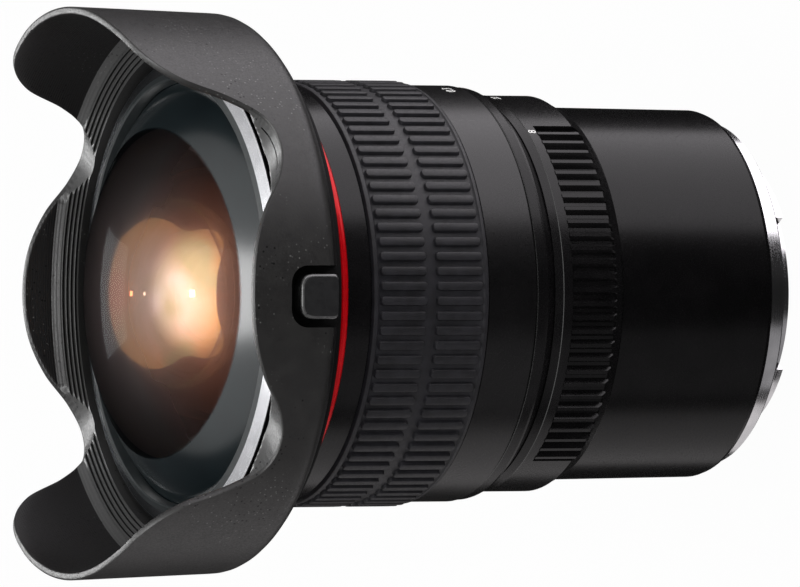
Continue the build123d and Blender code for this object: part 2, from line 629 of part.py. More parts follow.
def hood():
    step = (HOOD_TOP_R - HOOD_SHOULDER_R) / (HOOD_TOP - HOOD_SHOULDER_Z)
    top = HOOD_TOP + 0.5
    wall_bore = HOOD_SHOULDER_R - HOOD_WALL
    cone_end = 47.5
    outline = [
        (HOOD_BORE, HOOD_REAR_FACE), (HOOD_REAR_BORE, HOOD_REAR_FACE),
        (HOOD_REAR_BORE, flare(HOOD_REAR_BORE) + 0.1), (HOOD_REAR_BORE + 0.15, flare(HOOD_REAR_BORE)),
        (cone_end, flare(cone_end)),
    ]
    for share in (1, 2, 3, 4):
        angle = radians(share * 90 / 4)
        outline.append((cone_end + (HOOD_SHOULDER_R - cone_end) * sin(angle),
                        HOOD_SHOULDER_Z - (HOOD_SHOULDER_Z - flare(cone_end)) * cos(angle)))
    outline.append((HOOD_TOP_R + step * 0.5, top))
    outline.append((HOOD_TOP_R - HOOD_WALL + step * 0.5, top))
    # A sloped band and fine steps against stray light lead down from the petals to the glass.
    outline.append((wall_bore + step * (HOOD_BAND_TOP - HOOD_SHOULDER_Z), HOOD_BAND_TOP))
    outline.append((HOOD_BAND_R, HOOD_BASE_TOP))
    run = (HOOD_BAND_R - HOOD_BORE) / (HOOD_STEPS + 1)
    rise = (HOOD_BASE_TOP - RETAINER_TOP) / HOOD_STEPS
    edge = 0.12
    for count in reversed(range(HOOD_STEPS)):
        radius = HOOD_BORE + (count + 1) * run
        step_low = RETAINER_TOP + count * rise
        outline += [(radius + edge, step_low + rise), (radius, step_low + rise - edge), (radius, step_low)]
    outline.append((HOOD_BORE, RETAINER_TOP))
    shell = turned(*outline)
    shell -= hood_lip_cutter()
    for turn in HOOD_LUGS_AT:
        start = turn - HOOD_LUG_SPAN / 2
        lug_low, lug_high = BARREL_LUG_REAR - 1.8, BARREL_LUG_REAR - 0.1
        shell += sector(NOSE_R + 0.3, HOOD_BORE + 0.5, lug_low, lug_high, start, start + HOOD_LUG_SPAN)
    # The button's recess is open at the shoulder and rounded in front.
    recess_low = 85.0
    recess_length = BUTTON_SLOT_FRONT - recess_low
    recess = Box(BUTTON_SLOT_W, 12, recess_length, align=(Align.CENTER, Align.MAX, Align.MIN))
    recess = fillet(recess.edges().filter_by(Axis.Y).group_by(Axis.Z)[-1], BUTTON_SLOT_CORNER)
    shell -= Pos(0, -BUTTON_FLOOR, recess_low) * recess
    shell -= block(HOOD_BORE - 1, BUTTON_FLOOR + 1, STEM_W + 0.4, HOOD_REAR_FACE - 1, STEM_TOP + 0.2, -90)
    # A pin hole and a short slit stand in the base between two petals.
    shell -= post(PIN_HOLE_R, RETAINER_TOP - 3, RETAINER_TOP + 4, 45.6, PIN_HOLE_AT)
    shell -= sector(SLIT_R, SLIT_R + SLIT_W, RETAINER_TOP - 1, RETAINER_TOP + 4, SLIT_FROM, SLIT_TO)
    save("hood", shell)


def button_parts():
    depth = BUTTON_FACE - BUTTON_FLOOR - BUTTON_TRAVEL - 0.3
    cap = Box(BUTTON_W, depth, BUTTON_FRONT - BUTTON_REAR, align=(Align.CENTER, Align.MIN, Align.MIN))
    cap = fillet(cap.edges().filter_by(Axis.Y).group_by(Axis.Z)[-1], BUTTON_CORNER)
    cap = Pos(0, -BUTTON_FACE, BUTTON_REAR) * cap
    cap &= tube(30, BUTTON_FACE, 80, 120)
    cap = chamfer(cap.edges().filter_by(GeomType.CIRCLE).group_by(SortBy.RADIUS)[-1].group_by(Axis.Z)[0], 0.5)
    stem = block(42.5, BUTTON_FLOOR + 1.6, STEM_W, STEM_REAR, STEM_TOP, -90)
    foot = block(42.5, HOOD_BORE - 0.25, STEM_W + 2.0, STEM_REAR, STEM_TOP, -90)
    save("hood_button", cap + stem + foot)
    leaf_low, leaf_high = 93.2, 95.0
    leaf = sector(42.05, 42.4, leaf_low, leaf_high, -97, -44)
    leaf += sector(42.05, 42.4, leaf_low, STEM_TOP, -93.5, -86.5)
    leaf += block(42.2, LIP_R - 0.1, TOOTH_W, leaf_low, 94.4, -90)
    leaf += sector(42.05, 42.4, leaf_low, BARREL_LUG_REAR - 1.8, -48.5, -44)
    save("hood_latch", leaf)


def carrier():
    body = turned(
        (CARRIER_BORE, CARRIER_REAR), (CARRIER_R, CARRIER_REAR), (CARRIER_R, CARRIER_FRONT),
        (CARRIER_BORE, CARRIER_FRONT), (CARRIER_BORE, SHOULDER_FRONT), (SHOULDER_R, SHOULDER_FRONT),
        (SHOULDER_R, SHOULDER_REAR), (CARRIER_BORE, SHOULDER_REAR),
    )
    body -= arm_slot(CARRIER_BORE, CARRIER_R, ARM_REAR - 0.3, ACTUATOR_FRONT + 0.3)
    for turn in ROLLERS_AT:
        body -= spoke(ROLLER_R, CARRIER_BORE - 1, CARRIER_R + 1, ROLLER_Z, turn)
    save("optics_carrier", body)


def middle_group():
    cell = turned(
        (9.2, SHOULDER_FRONT), (CELL_R, SHOULDER_FRONT), (CELL_R, 49.0), (19.0, 50.5), (19.0, 79.4),
        (17.05, 79.4), (17.05, 68.2), (13.05, 68.2), (13.05, 58.93), (11.05, 58.05), (11.05, 51.02),
        (9.2, 50.5),
    )
    save("middle_cell", cell)
    third = post(17.0, 68.2, 78.0) - ball(60.0, 75.5 + 60.0) - ball(24.0, 73.0 - 24.0)
    save("third_element", third)
    save("third_retainer", tube(15.2, 17.0, 78.0, 79.4))
    fourth = post(13.0, 50, 70) & ball(24.0, 66.0 - 24.0) & ball(30.0, 56.0 + 30.0)
    save("fourth_element", fourth)
    save("fourth_retainer", turned((11.6, 63.1), (13.0, 62.25), (13.0, 65.2), (11.6, 65.2)))
    fifth = post(11.0, 45, 60) & ball(26.0, 54.5 - 26.0) & ball(40.0, 49.5 + 40.0)
    save("fifth_element", fifth)
    save("middle_spacer", turned((9.9, 52.6), (11.0, 52.1), (11.0, 57.6), (9.9, 57.6)))


def rear_group():
    cell = turned(
        (12.55, 20.6), (14.4, 20.6), (14.4, 29.6), (16.0, 31.2), (CELL_R, 31.2), (CELL_R, 38.3),
        (10.55, 38.3), (10.55, 28.68), (9.4, 28.25), (9.4, 25.6), (11.4, 24.35), (12.55, 24.0),
    )
    save("rear_cell", cell)
    joint = ball(18.0, 33.2 - 18.0)
    sixth = post(10.5, 28.0, 36.4) - ball(35.0, 34.8 + 35.0) - joint
    save("sixth_element", sixth)
    seventh = (post(10.5, 20, 35) & joint) & ball(30.0, 26.8 + 30.0)
    save("seventh_element", seventh)
    save("doublet_retainer", tube(9.4, 10.5, 36.4, 38.1))
    eighth = post(12.5, 15, 30) & ball(40.0, 25.9 - 40.0) & ball(45.0, 20.8 + 45.0)
    save("eighth_element", eighth)
    save("rear_retainer", turned((11.2, 20.7), (12.5, 20.7), (12.5, 22.5), (11.2, 22.15)))


def blade_turn_at(aperture_angle):
    return BLADE_TURN * aperture_angle / APERTURE_TRAVEL


def drive_pin(aperture_angle):
    """Where the first blade's drive pin stands, as the aperture ring turns."""
    angle = radians(DRIVE_START + blade_turn_at(aperture_angle))
    return PIVOT_CIRCLE + DRIVE_ARM * cos(angle), DRIVE_ARM * sin(angle)


def actuator_slot():
    """The track that the pin draws on the actuator, which turns with the aperture ring."""
    steps = 8
    track = []
    for step in range(steps + 1):
        ring_angle = APERTURE_TRAVEL * step / steps
        x, y = drive_pin(ring_angle)
        back = radians(-ring_angle)
        track.append((x * cos(back) - y * sin(back), x * sin(back) + y * cos(back)))
    half = PIN_R + PIN_GAP
    left, right = [], []
    for step, (x, y) in enumerate(track):
        ahead = track[min(step + 1, steps)]
        behind = track[max(step - 1, 0)]
        along_x, along_y = ahead[0] - behind[0], ahead[1] - behind[1]
        length = hypot(along_x, along_y)
        left.append((x - along_y / length * half, y + along_x / length * half))
        right.append((x + along_y / length * half, y - along_x / length * half))
    face = make_face(Spline(*left) + Line(left[-1], right[-1]) + Spline(*right) + Line(right[0], left[0]))
    for end in (track[0], track[-1]):
        face += Pos(*end) * Circle(half)
    return face


def iris():
    plate_low, plate_top, rim_bore, rim_low = 42.6, SHOULDER_REAR, 21.6, 38.4
    housing = turned(
        (8.6, plate_low), (rim_bore, plate_low), (rim_bore, rim_low), (CELL_R, rim_low),
        (CELL_R, plate_top), (8.6, plate_top),
    )
    housing -= arm_slot(rim_bore, CELL_R, ARM_REAR - 0.3, ACTUATOR_FRONT + 0.2)
    actuator = tube(13.2, ACTUATOR_R, ACTUATOR_REAR, ACTUATOR_FRONT)
    actuator += block(ACTUATOR_R - 1.5, ARM_END, ARM_W, ARM_REAR, ACTUATOR_FRONT, ARM_AT)
    slot = Pos(0, 0, ACTUATOR_REAR - 1) * extrude(actuator_slot(), ACTUATOR_FRONT - ACTUATOR_REAR + 2)
    for blade in range(BLADES):
        turn = blade * 360.0 / BLADES
        housing -= post(PIN_R + 0.05, plate_low - 1, plate_top + 1, PIVOT_CIRCLE, turn)
        actuator -= Rot(0, 0, turn) * slot
        save(f"iris_blade_{blade + 1}", Rot(0, 0, turn) * iris_blade(blade, plate_top))
    save("iris_housing", housing)
    save("iris_actuator", actuator)
    save("iris_cover", tube(9.6, rim_bore, rim_low, 39.5))


def iris_blade(level, plate_top):
    """A curved vane with a pivot pin in front and a drive pin behind."""
    top = BLADE_TOP - level * BLADE_PITCH
    low = top - BLADE_T
    vane = sector(IRIS_OPEN_R, VANE_R, low, top, 0, VANE_SPAN)
    middle_r = (IRIS_OPEN_R + VANE_R) / 2
    half_w = (VANE_R - IRIS_OPEN_R) / 2
    vane += post(half_w, low, top, middle_r, VANE_SPAN)
    vane += sector(IRIS_OPEN_R, PIVOT_CIRCLE + 1.3, low, top, 0, 14)
    drive_x, drive_y = drive_pin(0)
    pivot_boss = Pos(PIVOT_CIRCLE, 0) * Circle(1.3)
    drive_boss = Pos(drive_x, drive_y) * Circle(1.2)
    vane += Pos(0, 0, low) * extrude(make_hull(pivot_boss.edges() + drive_boss.edges()), BLADE_T)
    vane += post(PIN_R, top, plate_top - 0.1, PIVOT_CIRCLE)
    vane += Pos(drive_x, drive_y, 0) * post(PIN_R, ACTUATOR_REAR + 0.1, low)
    return vane


shank = mount_parts()
rear_barrel(shank)
rear_baffle()
click_spring()
aperture_ring()
guide_tube()
index_ring()
focus_ring()
focus_grip()
cam_sleeve()
front_barrel()
front_group()
hood()
button_parts()
carrier()
middle_group()
rear_group()
iris()
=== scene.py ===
from math import asin, atan2, cos, degrees, hypot, pi, radians, sin, sqrt

import bpy
from mathutils import Matrix, Vector


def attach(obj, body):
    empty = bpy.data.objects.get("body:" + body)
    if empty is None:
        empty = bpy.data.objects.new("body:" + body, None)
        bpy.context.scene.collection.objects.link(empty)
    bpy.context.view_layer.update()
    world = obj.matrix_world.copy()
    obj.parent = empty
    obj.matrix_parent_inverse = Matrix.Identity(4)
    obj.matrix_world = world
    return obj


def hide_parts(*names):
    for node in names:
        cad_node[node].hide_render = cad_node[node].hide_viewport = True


# A manual fisheye lens for a mirrorless camera, standing on its mount, in metres.
# The origin is the centre of the mount's flange face, +Z runs along the optical axis to the front glass,
# and -Y is the side with the hood's release button.

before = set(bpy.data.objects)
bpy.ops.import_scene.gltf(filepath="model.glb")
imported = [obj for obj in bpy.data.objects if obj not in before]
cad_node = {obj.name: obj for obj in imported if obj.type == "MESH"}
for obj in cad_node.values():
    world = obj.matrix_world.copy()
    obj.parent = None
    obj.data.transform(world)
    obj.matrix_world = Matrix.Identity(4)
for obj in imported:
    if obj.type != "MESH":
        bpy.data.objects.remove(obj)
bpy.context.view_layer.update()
bpy.ops.object.select_all(action="DESELECT")

# Camera
# The photograph looks down on the button's side from 25.6 degrees, from far off with a long lens,
# and is turned a quarter, so that the front glass points left.
CAMERA_TILT = radians(25.6)
CAMERA_OFF = 1.8486
AIM_HEIGHT = 0.0604
FOCAL_PIXELS = 10500.0
PHOTO_WIDTH = 800.0

up = Vector((1.0, 0.0, 0.0))
back = Vector((0.0, -cos(CAMERA_TILT), sin(CAMERA_TILT)))
right = up.cross(back)
bpy.ops.object.camera_add()
camera = bpy.context.object
camera.name = "photo_camera"
facing = Matrix((right, up, back)).transposed().to_4x4()
camera.matrix_world = Matrix.Translation(back * CAMERA_OFF + Vector((0.0, 0.0, AIM_HEIGHT))) @ facing
camera.data.sensor_width = 36.0
camera.data.lens = 36.0 * FOCAL_PIXELS / PHOTO_WIDTH
camera.data.clip_start = 0.05
camera.data.clip_end = 30.0
bpy.context.scene.camera = camera

# Studio
# A white table and a bright sky, with soft boxes above, below and behind the lens as the photograph shows
# them. The side that the camera stands on stays dim, so that black parts stay black.
TABLE_HEIGHT = -0.0049
TABLE_SIZE = 12.0
TABLE_SHADE = 0.4
TABLE_SHOWS_WHITE = 0.975


def feed(tree, value, socket):
    """Gives a socket a number, or what another socket sends."""
    if isinstance(value, float):
        socket.default_value = value
    else:
        tree.links.new(value, socket)


def maths(tree, operation, *values):
    """The result of an operation on numbers and on what sockets send."""
    node = tree.nodes.new("ShaderNodeMath")
    node.operation = operation
    for value, socket in zip(values, node.inputs):
        feed(tree, value, socket)
    return node.outputs[0]


def place_maths(tree, operation, place, other=(0.0, 0.0, 0.0)):
    """The same for a place and a fixed one; a length, a distance or a product is a number."""
    node = tree.nodes.new("ShaderNodeVectorMath")
    node.operation = operation
    tree.links.new(place, node.inputs[0])
    node.inputs[1].default_value = other
    return node.outputs["Vector" if operation == "MULTIPLY" else "Value"]


def climb(tree, value, start, end, low=0.0, high=1.0, ease="LINEAR"):
    """A number that goes from low to high as the value goes from start to end."""
    node = tree.nodes.new("ShaderNodeMapRange")
    node.interpolation_type = ease
    tree.links.new(value, node.inputs["Value"])
    for name, number in (("From Min", start), ("From Max", end), ("To Min", low), ("To Max", high)):
        node.inputs[name].default_value = number
    return node.outputs["Result"]


def laid_over(tree, share, below, above):
    """Two finishes as one, the second laid over the first by a share."""
    node = tree.nodes.new("ShaderNodeMixShader")
    feed(tree, share, node.inputs[0])
    tree.links.new(below.outputs[0], node.inputs[1])
    tree.links.new(above.outputs[0], node.inputs[2])
    return node


def show(tree, finish):
    """Makes this what the material shows."""
    tree.links.new(finish.outputs[0], tree.nodes["Material Output"].inputs["Surface"])


bpy.ops.mesh.primitive_plane_add(size=TABLE_SIZE, location=(0.0, 0.0, TABLE_HEIGHT))
table = bpy.context.object
table.name = "white_table"
table.visible_glossy = False
table.visible_shadow = False
table_paint = bpy.data.materials.new("white_table_paint")
table_paint.use_nodes = True
tree = table_paint.node_tree
surface = tree.nodes["Principled BSDF"]
surface.inputs["Base Color"].default_value = (TABLE_SHADE, TABLE_SHADE, TABLE_SHADE, 1.0)
surface.inputs["Roughness"].default_value = 0.9
path = tree.nodes.new("ShaderNodeLightPath")
seen = maths(tree, "MULTIPLY", path.outputs["Is Camera Ray"], TABLE_SHOWS_WHITE)
show(tree, laid_over(tree, seen, surface, tree.nodes.new("ShaderNodeEmission")))
table.data.materials.append(table_paint)

# The sky is white to the camera, and brighter overhead than at the horizon to what reflects it.
world = bpy.data.worlds.new("studio_room")
bpy.context.scene.world = world
world.use_nodes = True
tree = world.node_tree
sky = tree.nodes["Background"]
sky.inputs["Color"].default_value = (1.0, 1.0, 1.0, 1.0)
path = tree.nodes.new("ShaderNodeLightPath")
outward = tree.nodes.new("ShaderNodeTexCoord").outputs["Generated"]


def seen_by(ray, lean, low, high, rise_from, rise_to):
    """Brightness of the sky to one kind of ray, highest at a lean from overhead to the camera's side."""
    facing = place_maths(tree, "DOT_PRODUCT", outward, (0.0, -sin(radians(lean)), cos(radians(lean))))
    return maths(tree, "MULTIPLY", climb(tree, facing, rise_from, rise_to, low, high, "SMOOTHSTEP"), ray)


# A ray bent by glass counts as glossy too, so it is taken off the mirrored ones.
mirrored = maths(tree, "SUBTRACT", path.outputs["Is Glossy Ray"], path.outputs["Is Transmission Ray"])
mirrored.node.use_clamp = True
brightness = seen_by(path.outputs["Is Camera Ray"], 0.0, 1.0, 1.0, 0.0, 1.0)
for share in (
        seen_by(path.outputs["Is Diffuse Ray"], 0.0, 0.06, 0.2, -0.2, 0.8),
        seen_by(mirrored, 0.0, 0.01, 1.0, 0.2, 0.95),
        seen_by(path.outputs["Is Transmission Ray"], 58.0, 0.42, 2.5, 0.5, 1.0)):
    brightness = maths(tree, "ADD", brightness, share)
tree.links.new(brightness, sky.inputs["Strength"])


def soft_box(name, place, aim, width, length, power, tint, in_gloss=True, in_glass=False, in_paint=True):
    """A flat lamp that faces its aim, and the kinds of surface that it shows in."""
    bpy.ops.object.light_add(type="AREA", location=place)
    lamp = bpy.context.object
    lamp.name = name
    lamp.rotation_euler = (Vector(aim) - Vector(place)).to_track_quat("-Z", "Y").to_euler()
    lamp.data.shape = "RECTANGLE"
    lamp.data.size = width
    lamp.data.size_y = length
    lamp.data.energy = power
    lamp.data.color = tint
    lamp.visible_glossy = in_gloss
    lamp.visible_transmission = in_glass
    lamp.visible_diffuse = in_paint
    lamp.visible_camera = False


def round_about(turn, distance, height):
    """A place at that angle from the button's side, positive toward what is up in the photograph."""
    return (distance * sin(radians(turn)), -distance * cos(radians(turn)), height)


lens = (0.0, 0.0, 0.06)
glass = (0.0, 0.0, 0.1)
soft_box("box_above_in_photo", round_about(80.0, 0.8, -0.1), lens, 1.25, 1.4, 12.5, (1.0, 0.96, 1.0))
soft_box("box_below_in_photo", round_about(-105.0, 0.8, -0.1), lens, 0.75, 1.4, 2.3, (1.0, 0.96, 0.97))
soft_box("card_below_in_photo", round_about(-44.0, 0.8, -0.2), lens, 0.6, 1.4, 0.75, (1.0, 0.97, 1.0))
soft_box("box_over_glass", (0.0, 0.04, 1.1), lens, 0.5, 0.75, 8.5, (1.0, 1.0, 1.0))
soft_box("box_behind", (0.0, 0.95, 0.55), glass, 0.34, 0.4, 3.6, (1.0, 1.0, 1.0))
soft_box(
    "fill_from_camera", (0.0, -1.45, 0.75), lens, 1.2, 1.2, 22.0, (1.0, 1.0, 1.0), in_gloss=False)

# Three small lamps show only in the glass, each a metre from it at its lean from overhead.
for name, lean, size, power, tint in (
        ("lamp_overhead", -54.0, 0.1, 1.1, (1.0, 0.97, 0.94)),
        ("lamp_behind", 2.0, 0.05, 0.03, (1.0, 0.9, 0.8)),
        ("lamp_far", 22.0, 0.07, 0.12, (1.0, 0.42, 0.22))):
    place = (0.0, sin(radians(lean)), glass[2] + cos(radians(lean)))
    soft_box(name, place, glass, size, size, power, tint, in_gloss=False, in_glass=True, in_paint=False)
bpy.context.scene.view_settings.view_transform = "Standard"

# Mount ring and its screws
# The bayonet is brass, turned on a lathe, bored, milled into three lugs and chromed. Four steel screws hold
# it to the rear barrel.


def new_finish(name):
    """A material with its node tree, its shader and a point's place on the lens."""
    finish = bpy.data.materials.new(name)
    finish.use_nodes = True
    tree = finish.node_tree
    place = tree.nodes.new("ShaderNodeTexCoord").outputs["Object"]
    return finish, tree, tree.nodes["Principled BSDF"], place


def part_of(tree, place, axis):
    """One coordinate of a place."""
    split = tree.nodes.new("ShaderNodeSeparateXYZ")
    tree.links.new(place, split.inputs[0])
    return split.outputs[axis]


def round_the_axis(tree, place):
    """A point's radius and height, so that a pattern on them runs round the lens as lathe marks do."""
    flat = place_maths(tree, "MULTIPLY", place, (1.0, 1.0, 0.0))
    joined = tree.nodes.new("ShaderNodeCombineXYZ")
    tree.links.new(place_maths(tree, "LENGTH", flat), joined.inputs["X"])
    tree.links.new(part_of(tree, place, "Z"), joined.inputs["Z"])
    return joined.outputs[0]


def speckle(tree, place, size, detail=2.0):
    """Random light and dark spots of that size."""
    spots = tree.nodes.new("ShaderNodeTexNoise")
    spots.inputs["Scale"].default_value = 1.0 / size
    spots.inputs["Detail"].default_value = detail
    tree.links.new(place, spots.inputs["Vector"])
    return spots.outputs["Fac"]


def emboss(tree, shader, height, depth):
    """Relief of that depth, over any relief that the shader already has."""
    relief = tree.nodes.new("ShaderNodeBump")
    relief.inputs["Distance"].default_value = depth
    tree.links.new(height, relief.inputs["Height"])
    if shader.inputs["Normal"].is_linked:
        tree.links.new(shader.inputs["Normal"].links[0].from_socket, relief.inputs["Normal"])
    tree.links.new(relief.outputs["Normal"], shader.inputs["Normal"])


def vary(tree, source, socket, low, high, dark_end=0.35, light_end=0.65):
    """The socket runs from low to high as the source goes from dark to light."""
    tree.links.new(climb(tree, source, dark_end, light_end, low, high), socket)


def mottle(tree, source, socket, dark, light, dark_end=0.35, light_end=0.65):
    """The socket's colour runs from dark to light with the source."""
    ramp = tree.nodes.new("ShaderNodeValToRGB")
    for stop, position, colour in zip(ramp.color_ramp.elements, (dark_end, light_end), (dark, light)):
        stop.position = position
        stop.color = (*colour, 1.0)
    tree.links.new(source, ramp.inputs["Fac"])
    tree.links.new(ramp.outputs["Color"], socket)


def dress(finish, *names):
    """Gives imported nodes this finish."""
    for name in names:
        for slot in cad_node[name].material_slots:
            slot.material = finish


def turned_metal(name, dark, light, smooth, rough, mark_depth):
    """Metal with fine lathe marks round the axis and slightly uneven gloss."""
    finish, tree, shader, place = new_finish(name)
    marks = speckle(tree, round_the_axis(tree, place), 0.00012, 3.0)
    mottle(tree, speckle(tree, place, 0.004), shader.inputs["Base Color"], dark, light)
    vary(tree, marks, shader.inputs["Roughness"], smooth, rough)
    emboss(tree, shader, marks, mark_depth)
    shader.inputs["Metallic"].default_value = 1.0
    return finish


chrome = turned_metal("chromed_mount", (0.66, 0.66, 0.67), (0.78, 0.78, 0.79), 0.12, 0.26, 0.000004)
dress(chrome, "mount_ring")
screw_steel = turned_metal("screw_steel", (0.42, 0.42, 0.43), (0.58, 0.58, 0.59), 0.25, 0.4, 0.000004)
dress(screw_steel, "mount_screws")

# Rear barrel, baffle and the baffle's screws
# The barrel is turned from aluminium with the aperture ring's bearing, bead blasted and anodised black.
# The baffle is a matt black plate with a window of the film's shape.


def tinted(tree, socket, share, colour):
    """Moves the socket's colour to another one by a share."""
    blend = tree.nodes.new("ShaderNodeMix")
    blend.data_type = "RGBA"
    tree.links.new(socket.links[0].from_socket, blend.inputs["A"])
    blend.inputs["B"].default_value = (*colour, 1.0)
    tree.links.new(share, blend.inputs["Factor"])
    tree.links.new(blend.outputs["Result"], socket)


def anodised_black(name, shade, gloss, specular, blast_depth, bright_edges=()):
    """Black anodised aluminium with the fine tooth of bead blasting, bright where an edge is turned after."""
    finish, tree, shader, place = new_finish(name)
    blast = speckle(tree, place, 0.00018)
    cool, warm = (shade * 0.8, shade * 0.76, shade * 0.82), (shade * 1.2, shade * 1.12, shade * 1.2)
    mottle(tree, speckle(tree, place, 0.006), shader.inputs["Base Color"], cool, warm)
    vary(tree, blast, shader.inputs["Roughness"], gloss - 0.04, gloss + 0.05)
    emboss(tree, shader, blast, blast_depth)
    shader.inputs["Specular IOR Level"].default_value = specular
    if not bright_edges:
        return finish
    height = part_of(tree, place, "Z")
    worn = maths(tree, "COMPARE", height, *bright_edges[0])
    for edge in bright_edges[1:]:
        worn = maths(tree, "MAXIMUM", worn, maths(tree, "COMPARE", height, *edge))
    tinted(tree, shader.inputs["Base Color"], worn, (0.1, 0.1, 0.1))
    tree.links.new(worn, shader.inputs["Metallic"])
    return finish


satin_black = anodised_black("satin_black_barrel", 0.002, 0.24, 0.22, 0.000003)
dress(satin_black, "rear_barrel")
matt_black = anodised_black("matt_black_inside", 0.006, 0.7, 0.2, 0.00001)
dress(matt_black, "rear_baffle")
black_screw = anodised_black("blackened_screw", 0.02, 0.35, 0.4, 0.000002)
dress(black_screw, "baffle_screws")

# Aperture ring, its fork and its click spring
# Turned and anodised like the barrel, with milled ribs. The f-numbers are engraved in the smooth band and
# filled with white paint. A fork on the ring turns the iris, and a steel leaf clicks in the ring's notches.
APERTURE_BAND_R = 0.035
APERTURE_BAND_MIDDLE = 0.0446
APERTURE_STOPS = (("3.5", 40.0), ("5.6", 30.0), ("8", 20.0), ("11", 10.0), ("16", 0.0), ("22", -10.0))
PLAIN_NUMBER = ("8", -36.0)
APERTURE_SIGN_SIZE = 0.0021
PAINT_THICKNESS = 0.00002


def painted_signs(name, signs, size, middle, face_radius, body, finish):
    """Plain signs in paint on a ring, each at its angle, to be read with the front glass up."""
    words = []
    for sign, turn in signs:
        bpy.ops.object.text_add()
        word = bpy.context.object
        word.data.body = sign
        word.data.align_x = "CENTER"
        word.data.align_y = "CENTER"
        word.data.size = size
        word.data.extrude = PAINT_THICKNESS
        word.data.resolution_u = 3
        bpy.ops.object.convert(target="MESH")
        for corner in word.data.vertices:
            height = middle + corner.co.y
            radius = face_radius(height) + PAINT_THICKNESS / 2.0 + corner.co.z
            angle = radians(turn) + corner.co.x / radius
            corner.co = (radius * cos(angle), radius * sin(angle), height)
        words.append(word)
    bpy.ops.object.select_all(action="DESELECT")
    for word in words:
        word.select_set(True)
    bpy.context.view_layer.objects.active = words[0]
    bpy.ops.object.join()
    paint = bpy.context.object
    paint.name = name
    paint.data.materials.clear()
    paint.data.materials.append(finish)
    paint.select_set(False)
    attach(paint, body)


ring_black = anodised_black(
    "aperture_ring_black", 0.003, 0.26, 0.26, 0.000003, ((0.03335, 0.00013), (0.04555, 0.00005)))
dress(ring_black, "aperture_ring", "aperture_fork")
spring_steel = turned_metal("spring_steel", (0.25, 0.25, 0.28), (0.35, 0.35, 0.38), 0.25, 0.35, 0.000002)
dress(spring_steel, "click_spring")
white_paint, tree, shader, place = new_finish("white_paint")
mottle(tree, speckle(tree, place, 0.0003), shader.inputs["Base Color"], (0.72, 0.72, 0.7), (0.86, 0.86, 0.84))
vary(tree, speckle(tree, place, 0.0001), shader.inputs["Roughness"], 0.45, 0.6)
painted_signs(
    "aperture_numbers", (*APERTURE_STOPS, PLAIN_NUMBER), APERTURE_SIGN_SIZE, APERTURE_BAND_MIDDLE,
    lambda height: APERTURE_BAND_R, "aperture_ring", white_paint)

# Index ring, its screws and the focus stop
# The fixed neck between the two rings that turn, machined and anodised like them. Screws under the focus
# ring hold it to the rear barrel, and a pin in it ends the focus turn. Its rear cone has plain numbers.
INDEX_CONE_REAR = 0.04705
INDEX_CONE_REAR_R = 0.0344
INDEX_CONE_SLOPE = 1.5 / 1.75
INDEX_SIGNS = (("3.5", -18.0), ("|", 40.0))
INDEX_SIGN_SIZE = 0.0019
INDEX_SIGN_MIDDLE = 0.0479

index_black = anodised_black("index_ring_black", 0.003, 0.26, 0.24, 0.000003, ((0.05128, 0.00006),))
dress(index_black, "index_ring")
dress(black_screw, "neck_screws", "focus_stop_pin")
painted_signs(
    "index_numbers", INDEX_SIGNS, INDEX_SIGN_SIZE, INDEX_SIGN_MIDDLE,
    lambda height: INDEX_CONE_REAR_R + (height - INDEX_CONE_REAR) * INDEX_CONE_SLOPE, "root", white_paint)

# Focus ring and its screws
# A sleeve turned from aluminium and anodised, which screws hold to the cam sleeve inside. Its smooth rear
# band has plain distance numbers, and the rubber grip covers its front.
FOCUS_BAND_R = 0.0367
FOCUS_BAND_MIDDLE = 0.0548
FOCUS_DISTANCES = (("0.3", -13.0), ("0.5", 9.0), ("1", 28.0), ("3", 45.0))
FOCUS_SIGN_SIZE = 0.0026

focus_black = anodised_black(
    "focus_ring_black", 0.0025, 0.3, 0.42, 0.000003, ((0.05165, 0.00006), (0.06086, 0.00006)))
dress(focus_black, "focus_ring")
dress(black_screw, "cam_screws")
painted_signs(
    "distance_numbers", FOCUS_DISTANCES, FOCUS_SIGN_SIZE, FOCUS_BAND_MIDDLE,
    lambda height: FOCUS_BAND_R, "focus_ring", white_paint)

# Focus grip
# A moulded rubber sleeve, stretched over the focus ring, with two rows of raised ribs. Each rib has round
# corners and a soft crest, as the mould leaves them.
GRIP_SEAT_R = 0.0353
GRIP_BASE_R = 0.03675
GRIP_RIM_R = 0.0371
GRIP_RIB_R = 0.03745
GRIP_REAR = 0.061
GRIP_FRONT = 0.08305
RIB_REAR = 0.0622
RIB_LENGTH = 0.0089
RIB_ROW_STEP = 0.0107
RIBS = 90
RIB_FOOT_W = 0.00178
RIB_CREST_W = 0.00145
RIB_CREST_TRIM = 0.0001
RIB_CORNER = 0.0006
RIB_CREST_ROUND = 0.00022
GRIP_RIM_W = 0.0012
HAIR = 0.00001


def close_up(gap=0.000002):
    """Merges doubled corners of the mesh in edit mode, turns its faces outward and leaves edit mode."""
    bpy.ops.mesh.select_all(action="SELECT")
    bpy.ops.mesh.remove_doubles(threshold=gap)
    bpy.ops.mesh.select_all(action="SELECT")
    bpy.ops.mesh.normals_make_consistent(inside=False)
    bpy.ops.object.mode_set(mode="OBJECT")


def turned(name, outline, steps):
    """Turns a closed outline of radii and heights round the axis, as a lathe does."""
    bpy.ops.mesh.primitive_circle_add(vertices=len(outline))
    piece = bpy.context.object
    piece.name = name
    for corner, (radius, height) in zip(piece.data.vertices, outline):
        corner.co = (radius, 0.0, height)
    bpy.ops.object.mode_set(mode="EDIT")
    bpy.ops.mesh.select_all(action="SELECT")
    bpy.ops.mesh.spin(steps=steps, angle=2.0 * pi, center=(0.0, 0.0, 0.0), axis=(0.0, 0.0, 1.0))
    close_up()
    return piece


